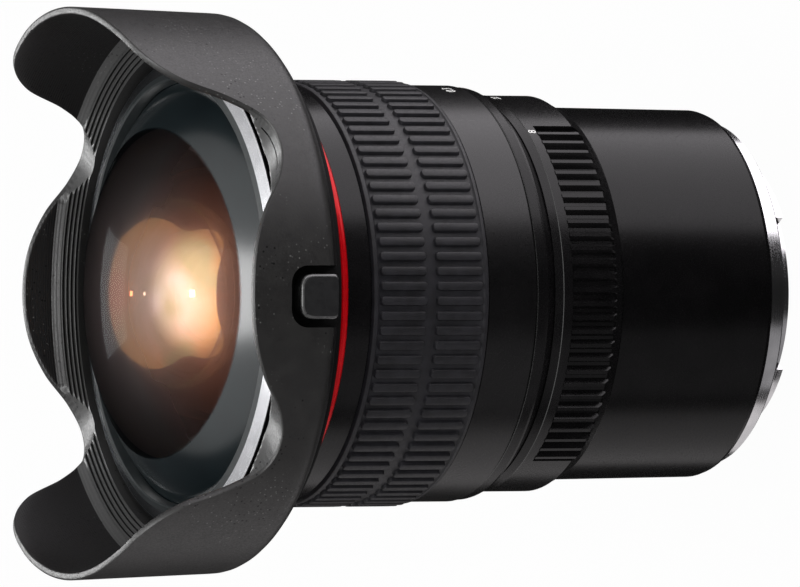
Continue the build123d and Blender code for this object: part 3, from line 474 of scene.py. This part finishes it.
def smooth(piece, limit=40.0):
    """Smooth shading, except at edges sharper than the limit."""
    bpy.ops.object.select_all(action="DESELECT")
    piece.select_set(True)
    bpy.context.view_layer.objects.active = piece
    bpy.ops.object.shade_smooth_by_angle(angle=radians(limit))
    piece.select_set(False)


def joined(pieces, name):
    """One object of several, which keeps the last one's materials."""
    bpy.ops.object.select_all(action="DESELECT")
    for piece in pieces:
        piece.select_set(True)
    bpy.context.view_layer.objects.active = pieces[-1]
    bpy.ops.object.join()
    whole = bpy.context.object
    whole.name = name
    whole.select_set(False)
    return whole


def pick_edges(piece, wanted):
    """Selects the edges whose two ends pass the test, and goes into edit mode."""
    bpy.context.view_layer.objects.active = piece
    bpy.ops.object.mode_set(mode="EDIT")
    bpy.ops.mesh.select_mode(type="EDGE")
    bpy.ops.mesh.select_all(action="DESELECT")
    bpy.ops.object.mode_set(mode="OBJECT")
    corners = piece.data.vertices
    for edge in piece.data.edges:
        edge.select = wanted(corners[edge.vertices[0]].co, corners[edge.vertices[1]].co)
    bpy.ops.object.mode_set(mode="EDIT")


def grip_ribs(rear):
    """A row of ribs round the grip."""
    bpy.ops.mesh.primitive_cube_add(size=1.0)
    rib = bpy.context.object
    foot_r = GRIP_BASE_R - 0.0002
    for corner in rib.data.vertices:
        at_crest = corner.co.x > 0.0
        width = RIB_CREST_W if at_crest else RIB_FOOT_W
        radius = GRIP_RIB_R if at_crest else foot_r
        trim = RIB_CREST_TRIM if at_crest else 0.0
        height = rear + (corner.co.z + 0.5) * RIB_LENGTH - trim * (1.0 if corner.co.z > 0.0 else -1.0)
        corner.co = (radius, corner.co.y * width, height)
    pick_edges(rib, lambda one, other: abs(one.x - other.x) > 0.0003)
    bpy.ops.mesh.bevel(offset=RIB_CORNER, segments=4)
    bpy.ops.object.mode_set(mode="OBJECT")
    pick_edges(rib, lambda one, other: min(one.x, other.x) > GRIP_RIB_R - HAIR)
    bpy.ops.mesh.bevel(offset=RIB_CREST_ROUND, segments=2)
    bpy.ops.mesh.select_all(action="SELECT")
    bpy.ops.mesh.normals_make_consistent(inside=False)
    bpy.ops.mesh.spin(
        steps=RIBS - 1, angle=2.0 * pi * (RIBS - 1) / RIBS, dupli=True,
        center=(0.0, 0.0, 0.0), axis=(0.0, 0.0, 1.0))
    bpy.ops.object.mode_set(mode="OBJECT")
    return rib


# Radii and heights of the sleeve; its two rims stand proud of the ribs' ground.
grip_outline = (
    (GRIP_SEAT_R, GRIP_REAR), (GRIP_RIM_R - 0.0003, GRIP_REAR),
    (GRIP_RIM_R - 0.0001, GRIP_REAR + 0.0001), (GRIP_RIM_R, GRIP_REAR + 0.0003),
    (GRIP_RIM_R, RIB_REAR - 0.0005), (GRIP_BASE_R + 0.00008, RIB_REAR - 0.0003),
    (GRIP_BASE_R, RIB_REAR - 0.0001), (GRIP_BASE_R, GRIP_FRONT - GRIP_RIM_W),
    (GRIP_BASE_R + 0.00008, GRIP_FRONT - 0.001), (GRIP_RIM_R, GRIP_FRONT - 0.0008),
    (GRIP_RIM_R, GRIP_FRONT - 0.0003), (GRIP_RIM_R - 0.0001, GRIP_FRONT - 0.0001),
    (GRIP_RIM_R - 0.0003, GRIP_FRONT), (GRIP_SEAT_R, GRIP_FRONT),
)
sleeve = turned("grip_sleeve", grip_outline, 360)
grip = joined([grip_ribs(RIB_REAR), grip_ribs(RIB_REAR + RIB_ROW_STEP), sleeve], "rubber_grip")
smooth(grip, 35.0)
rubber, tree, shader, place = new_finish("grip_rubber")
mottle(
    tree, speckle(tree, place, 0.002), shader.inputs["Base Color"],
    (0.007, 0.0068, 0.008), (0.011, 0.0107, 0.013))
vary(tree, speckle(tree, place, 0.0004), shader.inputs["Roughness"], 0.46, 0.6)
emboss(tree, shader, speckle(tree, place, 0.0002, 3.0), 0.000012)
shader.inputs["Specular IOR Level"].default_value = 0.5
grip.data.materials.append(rubber)
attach(grip, "focus_ring")
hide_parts("focus_grip")

# Front barrel and its screws
# Turned from aluminium with the flare that carries the hood, and anodised, smoother than the rear barrel.
# Three screws hold it to the guide tube.
front_black = anodised_black("front_barrel_black", 0.003, 0.24, 0.26, 0.000002, ((0.08326, 0.00006),))
dress(front_black, "front_barrel")
dress(black_screw, "barrel_screws")

# Red ring
# An aluminium ring, turned, polished and anodised red. It sits in a groove of the front barrel, behind the
# hood.
red, tree, shader, place = new_finish("red_anodised")
mottle(tree, speckle(tree, place, 0.001), shader.inputs["Base Color"], (0.42, 0.0, 0.003), (0.5, 0.0, 0.004))
vary(tree, speckle(tree, round_the_axis(tree, place), 0.0001), shader.inputs["Roughness"], 0.2, 0.3)
shader.inputs["Metallic"].default_value = 0.35
shader.inputs["Specular IOR Level"].default_value = 0.4
dress(red, "red_ring")

# Hood
# One moulding of glass-filled black plastic: a base with a sloped band and fine steps, four petals, two long
# and two short, with fine rings inside, three bayonet lugs and a recess for the release button.
HOOD_BORE = 0.0431
HOOD_REAR_BORE = 0.0443
HOOD_REAR = 0.0949
SHOULDER_R = 0.04894
SHOULDER = 0.0986
PETAL_TOP = 0.1245
PETAL_TOP_R = 0.0498
WALL = 0.0014
BAND_TOP = 0.1064
BAND_R = 0.0466
BASE_TOP = 0.1053
BASE_FLOOR = 0.1033
STEPS = 4
STEP_EDGE = 0.00012
LIP_ROUND = 0.00035
WALL_FOOT = 0.0974
PETAL_SLOPE = (PETAL_TOP_R - SHOULDER_R) / (PETAL_TOP - WALL_FOOT)
HOOD_COLUMNS = 720
RISER_TILT = 0.3

# Angles and heights of the petals' edge over a quarter of the hood, and radii and heights of the shoulder
# behind it.
LIP_STATIONS = (
    (0.0, 0.1115), (9.0, 0.1107), (17.0, 0.1082), (24.0, 0.1046), (31.0, 0.10305), (38.0, 0.1047),
    (43.0, 0.11), (48.0, 0.1178), (55.0, 0.1223), (66.0, 0.124), (78.0, 0.12445), (90.0, 0.1245),
)
SHOULDER_OUTLINE = (
    (0.045, 0.09405), (0.0453, 0.0942), (0.046, 0.09435), (0.0466, 0.09456), (0.0473, 0.09497),
    (0.0479, 0.0955), (0.0484, 0.09612), (0.04873, 0.0968), (0.04888, 0.0975), (SHOULDER_R, SHOULDER),
)

# The front barrel's flare, the button's recess with a slot for its stem, and the small cuts and lugs.
FLARE_START = 0.0893
FLARE_START_R = 0.0372
FLARE_SLOPE = 0.485
RECESS_W = 0.0106
RECESS_AT = -0.0005
RECESS_FLOOR_R = 0.045
RECESS_FRONT = 0.1043
RECESS_CORNER = 0.0032
RECESS_BOX = (
    (RECESS_AT - RECESS_W / 2.0, -0.06, 0.085), (RECESS_AT + RECESS_W / 2.0, -0.03, RECESS_FRONT))
RECESS_WALL_R = (0.0441, 0.0488)
REAR_FACE_TOP = 0.09425
STEM_SLOT = ((-0.0025, -0.0455, 0.0939), (0.0025, -0.0421, 0.0969))
PIN_HOLE_R = 0.00045
PIN_HOLE_CIRCLE = 0.0456
PIN_HOLE_AT = radians(-50.0)
PIN_HOLE_MIDDLE = 0.1038
SLIT_R = (0.04645, 0.04675)
SLIT_ANGLES = (-63.0, -52.5)
SLIT_HEIGHTS = (0.1023, 0.1073)
HOOD_LUGS_AT = (-30.0, 90.0, 210.0)
HOOD_LUG_SPAN = 38.0
HOOD_LUG_R = (0.04135, 0.0436)
HOOD_LUG_HEIGHTS = (0.0952, 0.0969)
PETAL_RING_STEP = 0.00045


def flare(radius):
    """Height of the front barrel's flare, which the hood's rear face sits on."""
    return FLARE_START + (radius - FLARE_START_R) * FLARE_SLOPE


def lip_height(angle):
    """Height of the petals' edge at an angle; the four quarters mirror each other."""
    fold = abs((degrees(angle) + 180.0) % 180.0 - 90.0)
    fold = min(max(fold, 0.0), 90.0)
    slopes = [0.0]
    for before, after in zip(LIP_STATIONS, LIP_STATIONS[2:]):
        slopes.append((after[1] - before[1]) / (after[0] - before[0]))
    slopes.append(0.0)
    for count in range(len(LIP_STATIONS) - 1):
        start, end = LIP_STATIONS[count], LIP_STATIONS[count + 1]
        if fold > end[0]:
            continue
        span = end[0] - start[0]
        share = (fold - start[0]) / span
        rest = 1.0 - share
        return (
            (1.0 + 2.0 * share) * rest * rest * start[1] + share * rest * rest * span * slopes[count]
            + share * share * (3.0 - 2.0 * share) * end[1] - share * share * rest * span * slopes[count + 1])
    return LIP_STATIONS[-1][1]


def ring_part(name, inner, outer, start, end, low, high, parts):
    """A piece of a ring between two radii, two angles in degrees and two heights."""
    bpy.ops.mesh.primitive_grid_add(x_subdivisions=parts, y_subdivisions=1, size=1.0)
    piece = bpy.context.object
    piece.name = name
    bpy.ops.object.mode_set(mode="EDIT")
    bpy.ops.mesh.select_all(action="SELECT")
    bpy.ops.mesh.extrude_region_move(TRANSFORM_OT_translate={"value": (0.0, 0.0, 1.0)})
    bpy.ops.object.mode_set(mode="OBJECT")
    for corner in piece.data.vertices:
        angle = radians(start + (corner.co.x + 0.5) * (end - start))
        radius = inner + (corner.co.y + 0.5) * (outer - inner)
        corner.co = (radius * cos(angle), radius * sin(angle), low + corner.co.z * (high - low))
    bpy.ops.object.mode_set(mode="EDIT")
    close_up()
    return piece


def block(name, low, high):
    """A box between two corners."""
    bpy.ops.mesh.primitive_cube_add(size=1.0)
    piece = bpy.context.object
    piece.name = name
    for corner in piece.data.vertices:
        corner.co = [a + (b - a) * (c + 0.5) for a, b, c in zip(low, high, corner.co)]
    return piece


def combine(piece, other, operation):
    """Cuts the other object from the piece, or keeps only what both share, and removes the other."""
    change = piece.modifiers.new("combine", "BOOLEAN")
    change.operation = operation
    change.solver = "EXACT"
    change.object = other
    bpy.context.view_layer.objects.active = piece
    bpy.ops.object.modifier_apply(modifier=change.name)
    bpy.data.objects.remove(other, do_unlink=True)


def front_rounded(piece, corner_size, segments):
    """Rounds a box's two front edges that point at the axis."""
    top = max(corner.co.z for corner in piece.data.vertices) - HAIR
    pick_edges(piece, lambda one, other: min(one.z, other.z) > top and abs(one.x - other.x) < HAIR)
    bpy.ops.mesh.bevel(offset=corner_size, segments=segments)
    bpy.ops.object.mode_set(mode="OBJECT")


outline = [
    (HOOD_BORE, HOOD_REAR), (HOOD_REAR_BORE, HOOD_REAR), (HOOD_REAR_BORE, flare(HOOD_REAR_BORE) + 0.0001),
    (HOOD_REAR_BORE + 0.00015, flare(HOOD_REAR_BORE)), *SHOULDER_OUTLINE,
]
wall_rows = 9
for count in range(1, wall_rows + 1):
    height = SHOULDER + (PETAL_TOP - LIP_ROUND - SHOULDER) * count / wall_rows
    outline.append((SHOULDER_R + PETAL_SLOPE * (height - SHOULDER), height))
for count in (1, 2, 3):
    angle = radians(30.0 * count)
    outline.append((PETAL_TOP_R - LIP_ROUND * (1.0 - cos(angle)), PETAL_TOP - LIP_ROUND * (1.0 - sin(angle))))
for count in (3, 2, 1, 0):
    angle = radians(30.0 * count)
    outline.append((
        PETAL_TOP_R - WALL + LIP_ROUND * (1.0 - cos(angle)), PETAL_TOP - LIP_ROUND * (1.0 - sin(angle))))
for count in range(wall_rows - 1, -1, -1):
    height = BAND_TOP + (PETAL_TOP - LIP_ROUND - BAND_TOP) * count / wall_rows
    outline.append((SHOULDER_R - WALL + PETAL_SLOPE * (height - SHOULDER), height))
outline.append((BAND_R, BASE_TOP))
step_run = (BAND_R - HOOD_BORE) / (STEPS + 1)
step_rise = (BASE_TOP - BASE_FLOOR) / STEPS
for count in reversed(range(STEPS)):
    radius = HOOD_BORE + (count + 1) * step_run
    low = BASE_FLOOR + count * step_rise
    outline += [
        (radius + STEP_EDGE, low + step_rise), (radius, low + step_rise - STEP_EDGE), (radius, low)]
outline.append((HOOD_BORE, BASE_FLOOR))
hood = turned("petal_hood", outline, HOOD_COLUMNS)

# The straight rim becomes the wavy one: the walls stretch between base and lip, and what the lip dips into
# comes down with it.
round_start = PETAL_TOP - LIP_ROUND
for corner in hood.data.vertices:
    angle = atan2(corner.co.y, corner.co.x)
    radius = hypot(corner.co.x, corner.co.y)
    height = corner.co.z
    lip = lip_height(angle)
    outside = radius > SHOULDER_R - WALL / 2.0 + PETAL_SLOPE * (height - SHOULDER)
    if height > round_start - 0.000001:
        sink = PETAL_TOP - height
        if not outside:
            sink *= min(max((lip - BAND_TOP - 0.0003) / 0.001, 0.0), 1.0)
        placed = lip - sink
    elif outside and height > SHOULDER:
        placed = SHOULDER + (lip - LIP_ROUND - SHOULDER) * (height - SHOULDER) / (round_start - SHOULDER)
    elif not outside and height > BAND_TOP - 0.000001:
        share = (height - BAND_TOP) / (round_start - BAND_TOP)
        placed = min(lip, BAND_TOP + max(lip - LIP_ROUND - BAND_TOP, 0.0) * share)
    else:
        placed = min(height, lip) if not outside else height
    if height > BAND_TOP or outside and height > SHOULDER:
        radius += PETAL_SLOPE * (placed - height)
    corner.co = (radius * cos(angle), radius * sin(angle), placed)
bpy.context.view_layer.objects.active = hood
bpy.ops.object.mode_set(mode="EDIT")
close_up()

recess = block("recess_cutter", *RECESS_BOX)
front_rounded(recess, RECESS_CORNER, 8)
bpy.ops.mesh.primitive_cylinder_add(vertices=360, radius=RECESS_FLOOR_R, depth=0.1, location=(0.0, 0.0, 0.1))
combine(recess, bpy.context.object, "DIFFERENCE")
stem_slot = block("stem_cutter", *STEM_SLOT)
bpy.ops.mesh.primitive_cylinder_add(vertices=24, radius=PIN_HOLE_R, depth=0.007)
pin_hole = bpy.context.object
for corner in pin_hole.data.vertices:
    corner.co += Vector(
        (PIN_HOLE_CIRCLE * cos(PIN_HOLE_AT), PIN_HOLE_CIRCLE * sin(PIN_HOLE_AT), PIN_HOLE_MIDDLE))
slit = ring_part("slit_cutter", *SLIT_R, *SLIT_ANGLES, *SLIT_HEIGHTS, 12)
for cutter in (recess, stem_slot, pin_hole, slit):
    combine(hood, cutter, "DIFFERENCE")
lugs = []
for turn in HOOD_LUGS_AT:
    angles = (turn - HOOD_LUG_SPAN / 2.0, turn + HOOD_LUG_SPAN / 2.0)
    lugs.append(ring_part("hood_lug", *HOOD_LUG_R, *angles, *HOOD_LUG_HEIGHTS, 24))
hood = joined(lugs + [hood], "petal_hood")
smooth(hood, 40.0)
hood_black, tree, shader, place = new_finish("hood_plastic")
skin = speckle(tree, place, 0.00035, 3.0)
vary(tree, skin, shader.inputs["Roughness"], 0.36, 0.52)
emboss(tree, shader, skin, 0.000012)
axial = round_the_axis(tree, place)
out_from_axis, height = part_of(tree, axial, "X"), part_of(tree, axial, "Z")
wall_place = maths(tree, "MULTIPLY_ADD", height, -PETAL_SLOPE, out_from_axis)
inside = maths(tree, "LESS_THAN", wall_place, SHOULDER_R - WALL / 2.0 - PETAL_SLOPE * SHOULDER)
on_wall = maths(tree, "GREATER_THAN", out_from_axis, BAND_R + 0.0002)
petal_inside = maths(tree, "MULTIPLY", inside, on_wall)


def specks(tree, place, spacing, radius, where):
    """Sparse round spots, kept to where the noise of that size is strong."""
    cells = tree.nodes.new("ShaderNodeTexVoronoi")
    cells.inputs["Scale"].default_value = 1.0 / spacing
    tree.links.new(place, cells.inputs["Vector"])
    spot = climb(tree, cells.outputs["Distance"], radius / spacing, 0.6 * radius / spacing)
    patch = climb(tree, speckle(tree, place, where), 0.5, 0.6)
    return maths(tree, "MULTIPLY", spot, patch)


colour = shader.inputs["Base Color"]
mottle(tree, speckle(tree, place, 0.003), colour, (0.0095, 0.0092, 0.009), (0.013, 0.0127, 0.0122))
# Painted shade: the petals' inner walls are painted darker than the outside.
tinted(tree, colour, petal_inside, (0.003, 0.0026, 0.0026))

# The band inside the petals is painted paler away from the button, as painted light on the sides that the
# soft boxes face, and the whole moulding is scuffed and pitted in places.
band_inside = maths(tree, "MULTIPLY", climb(tree, height, BAND_TOP + 0.0003, BAND_TOP), inside)
painted_side_light = climb(tree, maths(tree, "ABSOLUTE", part_of(tree, place, "X")), 0.014, 0.028)
tinted(tree, colour, maths(tree, "MULTIPLY", band_inside, painted_side_light), (0.03, 0.03, 0.03))
tinted(tree, colour, specks(tree, place, 0.0009, 0.00017, 0.014), (0.085, 0.085, 0.083))
pits = specks(tree, place, 0.0011, 0.00025, 0.01)
tinted(tree, colour, pits, (0.003, 0.003, 0.003))
wave = maths(tree, "SINE", maths(tree, "MULTIPLY", height, 2.0 * pi / PETAL_RING_STEP))
emboss(tree, shader, maths(tree, "MULTIPLY", wave, petal_inside), 0.000012)
vary(tree, pits, shader.inputs["Specular IOR Level"], 0.5, 0.24)
hood.data.materials.append(hood_black)
# Painted shade: a near-black finish on the same plastic, for the steps' risers, the button's recess, the seam
# at the rear face and the button's sides.
recess_painted_shade, tree, shader, place = new_finish("hood_painted_shade")
mottle(
    tree, speckle(tree, place, 0.001), shader.inputs["Base Color"],
    (0.0012, 0.0012, 0.0012), (0.002, 0.002, 0.002))
vary(tree, speckle(tree, place, 0.0003), shader.inputs["Roughness"], 0.6, 0.75)
shader.inputs["Specular IOR Level"].default_value = 0.2
hood.data.materials.append(recess_painted_shade)
# The painted shade goes on the steps' risers, the recess's walls and the rear face by the red ring.
for face in hood.data.polygons:
    centre = face.center
    radius = hypot(centre.x, centre.y)
    beside = abs(centre.x - RECESS_AT) < RECESS_W / 2.0 + HAIR
    in_recess = beside and centre.y < 0.0 and centre.z < RECESS_FRONT + HAIR
    in_steps = HOOD_BORE < radius < BAND_R and BASE_FLOOR < centre.z < BASE_TOP
    if in_steps and abs(face.normal.z) < RISER_TILT:
        face.material_index = 1
    if in_recess and RECESS_WALL_R[0] < radius < RECESS_WALL_R[1] or centre.z < REAR_FACE_TOP:
        face.material_index = 1
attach(hood, "hood")
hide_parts("hood")

# Release button and its latch
# A moulded cap with rounded front corners and a soft rim, on a stem that reaches through the hood to the
# latch, a leaf of spring steel.
BUTTON_W = 0.0077
BUTTON_REAR = 0.0956
BUTTON_FRONT = 0.1025
BUTTON_FACE_R = 0.04935
BUTTON_BACK = 0.0462
BUTTON_DEPTH = BUTTON_FACE_R - BUTTON_BACK
RIM_ROUND = 0.0005
RIM_SHARE = 0.13
FRONT_SQUARENESS = 3.8
REAR_SQUARENESS = 14.0
FLAT_FACING = 0.985
STEM = ((-0.0023, -0.0466, 0.0951), (0.0023, -0.0425, 0.0967))
FOOT = ((-0.0033, -0.04285, 0.0951), (0.0033, -0.0425, 0.0967))


def drop_loose(piece):
    """Removes corners and edges that no face uses."""
    bpy.context.view_layer.objects.active = piece
    bpy.ops.object.mode_set(mode="EDIT")
    bpy.ops.mesh.delete_loose(use_verts=True, use_edges=True, use_faces=False)
    bpy.ops.object.mode_set(mode="OBJECT")


# The cap is turned as a round button first and then drawn out to its own outline.
outline = [(0.0, 0.0), (0.9, 0.0), (1.0, 0.0001)]
for count in range(5):
    angle = radians(22.5 * count)
    outline.append((1.0 - RIM_SHARE * (1.0 - cos(angle)), BUTTON_DEPTH - RIM_ROUND * (1.0 - sin(angle))))
outline += [(0.8, BUTTON_DEPTH), (0.55, BUTTON_DEPTH), (0.3, BUTTON_DEPTH), (0.0, BUTTON_DEPTH)]
cap = turned("button_cap", outline, 96)
half_w, half_l = BUTTON_W / 2.0, (BUTTON_FRONT - BUTTON_REAR) / 2.0
for corner in cap.data.vertices:
    share = hypot(corner.co.x, corner.co.y)
    angle = atan2(corner.co.y, corner.co.x)
    power = FRONT_SQUARENESS if corner.co.y > 0.0 else REAR_SQUARENESS
    stretch = abs(cos(angle) / half_w) ** power + abs(sin(angle) / half_l) ** power
    reach = share / stretch ** (1.0 / power)
    across, along = reach * cos(angle), reach * sin(angle)
    if corner.co.y < 0.0 and share > 0.86:
        along /= share
    across += RECESS_AT
    sunk = BUTTON_DEPTH - corner.co.z
    face_y = -sqrt(BUTTON_FACE_R * BUTTON_FACE_R - across * across)
    corner.co = (across, sunk + face_y, BUTTON_REAR + half_l + along)
bpy.context.view_layer.objects.active = cap
bpy.ops.object.mode_set(mode="EDIT")
close_up(0.000001)
drop_loose(cap)
stem = block("button_stem", *STEM)
foot = block("button_foot", *FOOT)
button = joined([stem, foot, cap], "release_button")
smooth(button, 40.0)
button_black, tree, shader, place = new_finish("button_plastic")
mottle(
    tree, speckle(tree, place, 0.001), shader.inputs["Base Color"],
    (0.011, 0.011, 0.0115), (0.014, 0.014, 0.0145))
vary(tree, speckle(tree, place, 0.0002), shader.inputs["Roughness"], 0.2, 0.27)
emboss(tree, shader, speckle(tree, place, 0.0003), 0.000001)
button.data.materials.append(button_black)
button.data.materials.append(recess_painted_shade)
# The rim is a glossier finish, and its paler colour is a painted highlight.
button_rim_sheen, tree, shader, place = new_finish("button_rim_painted_highlight")
mottle(
    tree, speckle(tree, place, 0.0006), shader.inputs["Base Color"],
    (0.03, 0.03, 0.03), (0.045, 0.045, 0.045))
shader.inputs["Roughness"].default_value = 0.22
shader.inputs["Specular IOR Level"].default_value = 1.0
button.data.materials.append(button_rim_sheen)
for face in button.data.polygons:
    centre = face.center
    radius = hypot(centre.x, centre.y)
    # The cap's sides, deep in the recess, take the painted shade.
    if radius < BUTTON_FACE_R - RIM_ROUND:
        face.material_index = 1
    # Faces that turn away from the cap's face take the rim's painted highlight.
    elif abs(face.normal.y * centre.y + face.normal.x * centre.x) / radius < FLAT_FACING:
        face.material_index = 2
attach(button, "hood_button")
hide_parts("hood_button")
dress(spring_steel, "hood_latch")

# Front retaining ring
# Aluminium turned to a shallow cone that falls away from the glass, and left bright, with a blackened inner
# edge. It screws into the front barrel's nose and holds the glass in its cell.
RETAINER_EDGE_R = 0.0386

bright_ring, tree, shader, place = new_finish("bright_retainer")
axial = round_the_axis(tree, place)
mottle(tree, speckle(tree, place, 0.004), shader.inputs["Base Color"], (0.5, 0.5, 0.52), (0.56, 0.56, 0.58))
vary(tree, speckle(tree, axial, 0.0002, 3.0), shader.inputs["Roughness"], 0.25, 0.275)
shader.inputs["Metallic"].default_value = 1.0
# Painted shade: the bright ring is painted darker on the side away from the button.
away = climb(tree, part_of(tree, place, "Y"), -0.008, 0.012)
tinted(tree, shader.inputs["Base Color"], away, (0.11, 0.12, 0.13))
dark_lip = tree.nodes.new("ShaderNodeBsdfPrincipled")
mottle(
    tree, speckle(tree, place, 0.002), dark_lip.inputs["Base Color"],
    (0.012, 0.015, 0.016), (0.018, 0.021, 0.022))
dark_lip.inputs["Roughness"].default_value = 0.3
edge = maths(tree, "LESS_THAN", part_of(tree, axial, "X"), RETAINER_EDGE_R)
show(tree, laid_over(tree, edge, shader, dark_lip))
dress(bright_ring, "front_retainer")

# Front glass
# A deep meniscus, ground, polished and coated. Its outer part lies on the cell's seat and is blackened
# there; its hollow rear face throws back an amber picture of the room between the petals.
DOME_R = 0.0546
DOME_APEX = 0.1162
DOME_RIM_R = 0.0375
HOLLOW_R = 0.0275
HOLLOW_APEX = 0.1149
SEAT_HEIGHT = 0.0922
COATED_R = 0.0251
LAND_ACROSS = 0.029
LAND_TOWARDS = 0.0321
GLASS_IOR = 1.75
COAT_STRENGTH = 0.06
RIM_TILT = 0.1
# Where the hollow's painted highlight and painted red glint sit.
PAINTED_HIGHLIGHT_AT = (0.0, -0.0135, 0.1109)
RED_GLINT_AT = (0.0, -0.0015, 0.1149)


def cap_arc(radius, apex, reach, parts):
    """Points of a spherical face from its apex out to a radius."""
    widest = asin(reach / radius)
    return [
        (radius * sin(widest * count / parts), apex - radius * (1.0 - cos(widest * count / parts)))
        for count in range(parts + 1)]


def see_through(tree, colour):
    """Polished glass of a colour, which bends light and mirrors none."""
    clear = tree.nodes.new("ShaderNodeBsdfRefraction")
    clear.inputs["Color"].default_value = (*colour, 1.0)
    clear.inputs["Roughness"].default_value = 0.0
    clear.inputs["IOR"].default_value = GLASS_IOR
    return clear


def mirror(tree, roughness, colour=(1.0, 1.0, 1.0)):
    """A coat that mirrors in a colour, the rougher the hazier."""
    coat = tree.nodes.new("ShaderNodeBsdfGlossy")
    coat.inputs["Color"].default_value = (*colour, 1.0)
    coat.inputs["Roughness"].default_value = roughness
    return coat


hollow_rim = sqrt(HOLLOW_R ** 2 - (HOLLOW_R - HOLLOW_APEX + SEAT_HEIGHT) ** 2)
outline = cap_arc(DOME_R, DOME_APEX, DOME_RIM_R, 60) + [(DOME_RIM_R, SEAT_HEIGHT)]
outline += reversed(cap_arc(HOLLOW_R, HOLLOW_APEX, hollow_rim, 40))
dome = turned("front_glass", outline, 256)
drop_loose(dome)
smooth(dome, 30.0)

# The outer face bends light and mirrors a little of it, and the dark seat shows through its outer zone.
front_glass, tree, shader, place = new_finish("front_glass")
bounce = tree.nodes.new("ShaderNodeFresnel")
bounce.inputs["IOR"].default_value = 1.45
outer_face = maths(tree, "SUBTRACT", 1.0, tree.nodes.new("ShaderNodeNewGeometry").outputs["Backfacing"])
coated = maths(tree, "MULTIPLY", maths(tree, "MULTIPLY", bounce.outputs[0], outer_face), COAT_STRENGTH)
polish = laid_over(tree, coated, see_through(tree, (1.0, 1.0, 1.0)), mirror(tree, 0.0, (0.75, 0.8, 0.85)))
reach = place_maths(
    tree, "LENGTH", place_maths(tree, "MULTIPLY", place, (1.0 / LAND_ACROSS, 1.0 / LAND_TOWARDS, 0.0)))
over_land = maths(tree, "MULTIPLY", climb(tree, reach, 0.985, 1.0), outer_face)
land = tree.nodes.new("ShaderNodeBsdfPrincipled")
mottle(
    tree, speckle(tree, place, 0.006), land.inputs["Base Color"],
    (0.003, 0.006, 0.0075), (0.004, 0.008, 0.0095))
land.inputs["Roughness"].default_value = 0.21
land.inputs["IOR"].default_value = 1.7
show(tree, laid_over(tree, over_land, polish, land))

# The hollow's coats mirror in amber, with painted highlight and reflection colours, and a haze of wine red
# over it.
hollow_glass, tree, shader, place = new_finish("hollow_glass")
amber = mirror(tree, 0.02)
# Painted highlight: the amber is painted whitest round one point of the hollow.
mottle(
    tree, place_maths(tree, "DISTANCE", place, PAINTED_HIGHLIGHT_AT), amber.inputs["Color"],
    (1.0, 0.88, 0.8), (0.86, 0.37, 0.09), 0.001, 0.012)
drift = climb(tree, speckle(tree, place, 0.011, 1.0), 0.52, 0.68)
tinted(tree, amber.inputs["Color"], drift, (0.42, 0.4, 0.16))
# Painted reflection: a red-orange glint painted at the hollow's middle.
red_glint = climb(tree, place_maths(tree, "DISTANCE", place, RED_GLINT_AT), 0.006, 0.001, ease="SMOOTHSTEP")
tinted(tree, amber.inputs["Color"], red_glint, (1.0, 0.32, 0.14))
wine = mirror(tree, 0.5)
# Painted reflection: the wine haze is painted redder toward the button's side.
near = climb(tree, part_of(tree, place, "Y"), 0.001, -0.021)
mottle(tree, near, wine.inputs["Color"], (1.0, 0.88, 0.88), (1.0, 0.4, 0.28), 0.2, 0.8)
haze = laid_over(tree, 0.5, mirror(tree, 0.25, (0.9, 0.5, 0.35)), wine)
coats = laid_over(tree, 0.52, amber, haze)
show(tree, laid_over(tree, 0.75, see_through(tree, (0.9, 0.7, 0.6)), coats))

blackened, tree, shader, place = new_finish("blackened_glass")
# Painted sheen: the blackened glass is painted paler toward the button's side.
side = climb(tree, part_of(tree, place, "Y"), 0.0, -0.034)
mottle(tree, side, shader.inputs["Base Color"], (0.004, 0.007, 0.009), (0.01, 0.014, 0.015), 0.1, 1.0)
shader.inputs["Roughness"].default_value = 0.5
for finish in (front_glass, hollow_glass, blackened):
    dome.data.materials.append(finish)
for face in dome.data.polygons:
    radius, height = hypot(face.center.x, face.center.y), face.center.z
    in_hollow = hypot(radius, height - HOLLOW_APEX + HOLLOW_R) < HOLLOW_R + 0.0001
    on_seat = height < SEAT_HEIGHT + HAIR
    if in_hollow and height > SEAT_HEIGHT + HAIR:
        face.material_index = 1 if radius < COATED_R else 2
    elif radius > DOME_RIM_R - 0.0002 and abs(face.normal.z) < RIM_TILT or on_seat:
        face.material_index = 2
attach(dome, "root")
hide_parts("front_element")

# Inner glasses
# Seven smaller ones, ground, polished and coated. Retainers and spacers hold them in the front, middle and
# rear cells.
inner_glass, tree, shader, place = new_finish("inner_glass")
shader.inputs["Base Color"].default_value = (0.6, 0.42, 0.36, 1.0)
shader.inputs["Roughness"].default_value = 0.02
shader.inputs["Transmission Weight"].default_value = 1.0
shader.inputs["IOR"].default_value = 1.6
dress(
    inner_glass, "second_element", "third_element", "fourth_element", "fifth_element", "sixth_element",
    "seventh_element", "eighth_element")

# Tubes, cells and rings inside
# The sliding tube is plain turned aluminium, the cam sleeve and its rollers are brass. Cells, retainers and
# the iris's housing are blackened against stray light.
inner_aluminium = turned_metal("inner_aluminium", (0.3, 0.3, 0.31), (0.4, 0.4, 0.41), 0.3, 0.45, 0.000005)
dress(inner_aluminium, "optics_carrier")
brass = turned_metal("cam_brass", (0.5, 0.36, 0.14), (0.62, 0.45, 0.2), 0.25, 0.4, 0.000005)
dress(brass, "cam_sleeve", "cam_rollers")
dress(
    matt_black, "guide_tube", "front_cell", "middle_cell", "third_retainer", "fourth_retainer",
    "middle_spacer", "rear_cell", "doublet_retainer", "rear_retainer", "iris_housing", "iris_cover",
    "iris_actuator")

# Iris blades
# Six leaves of thin steel, etched to shape and blackened. Each has a pivot pin in the iris's housing and a
# drive pin in a curved slot of its actuator ring.
blade_steel = turned_metal("blade_steel", (0.03, 0.03, 0.032), (0.05, 0.05, 0.052), 0.35, 0.5, 0.000002)
dress(blade_steel, *["iris_blade_%d" % blade for blade in range(1, 7)])
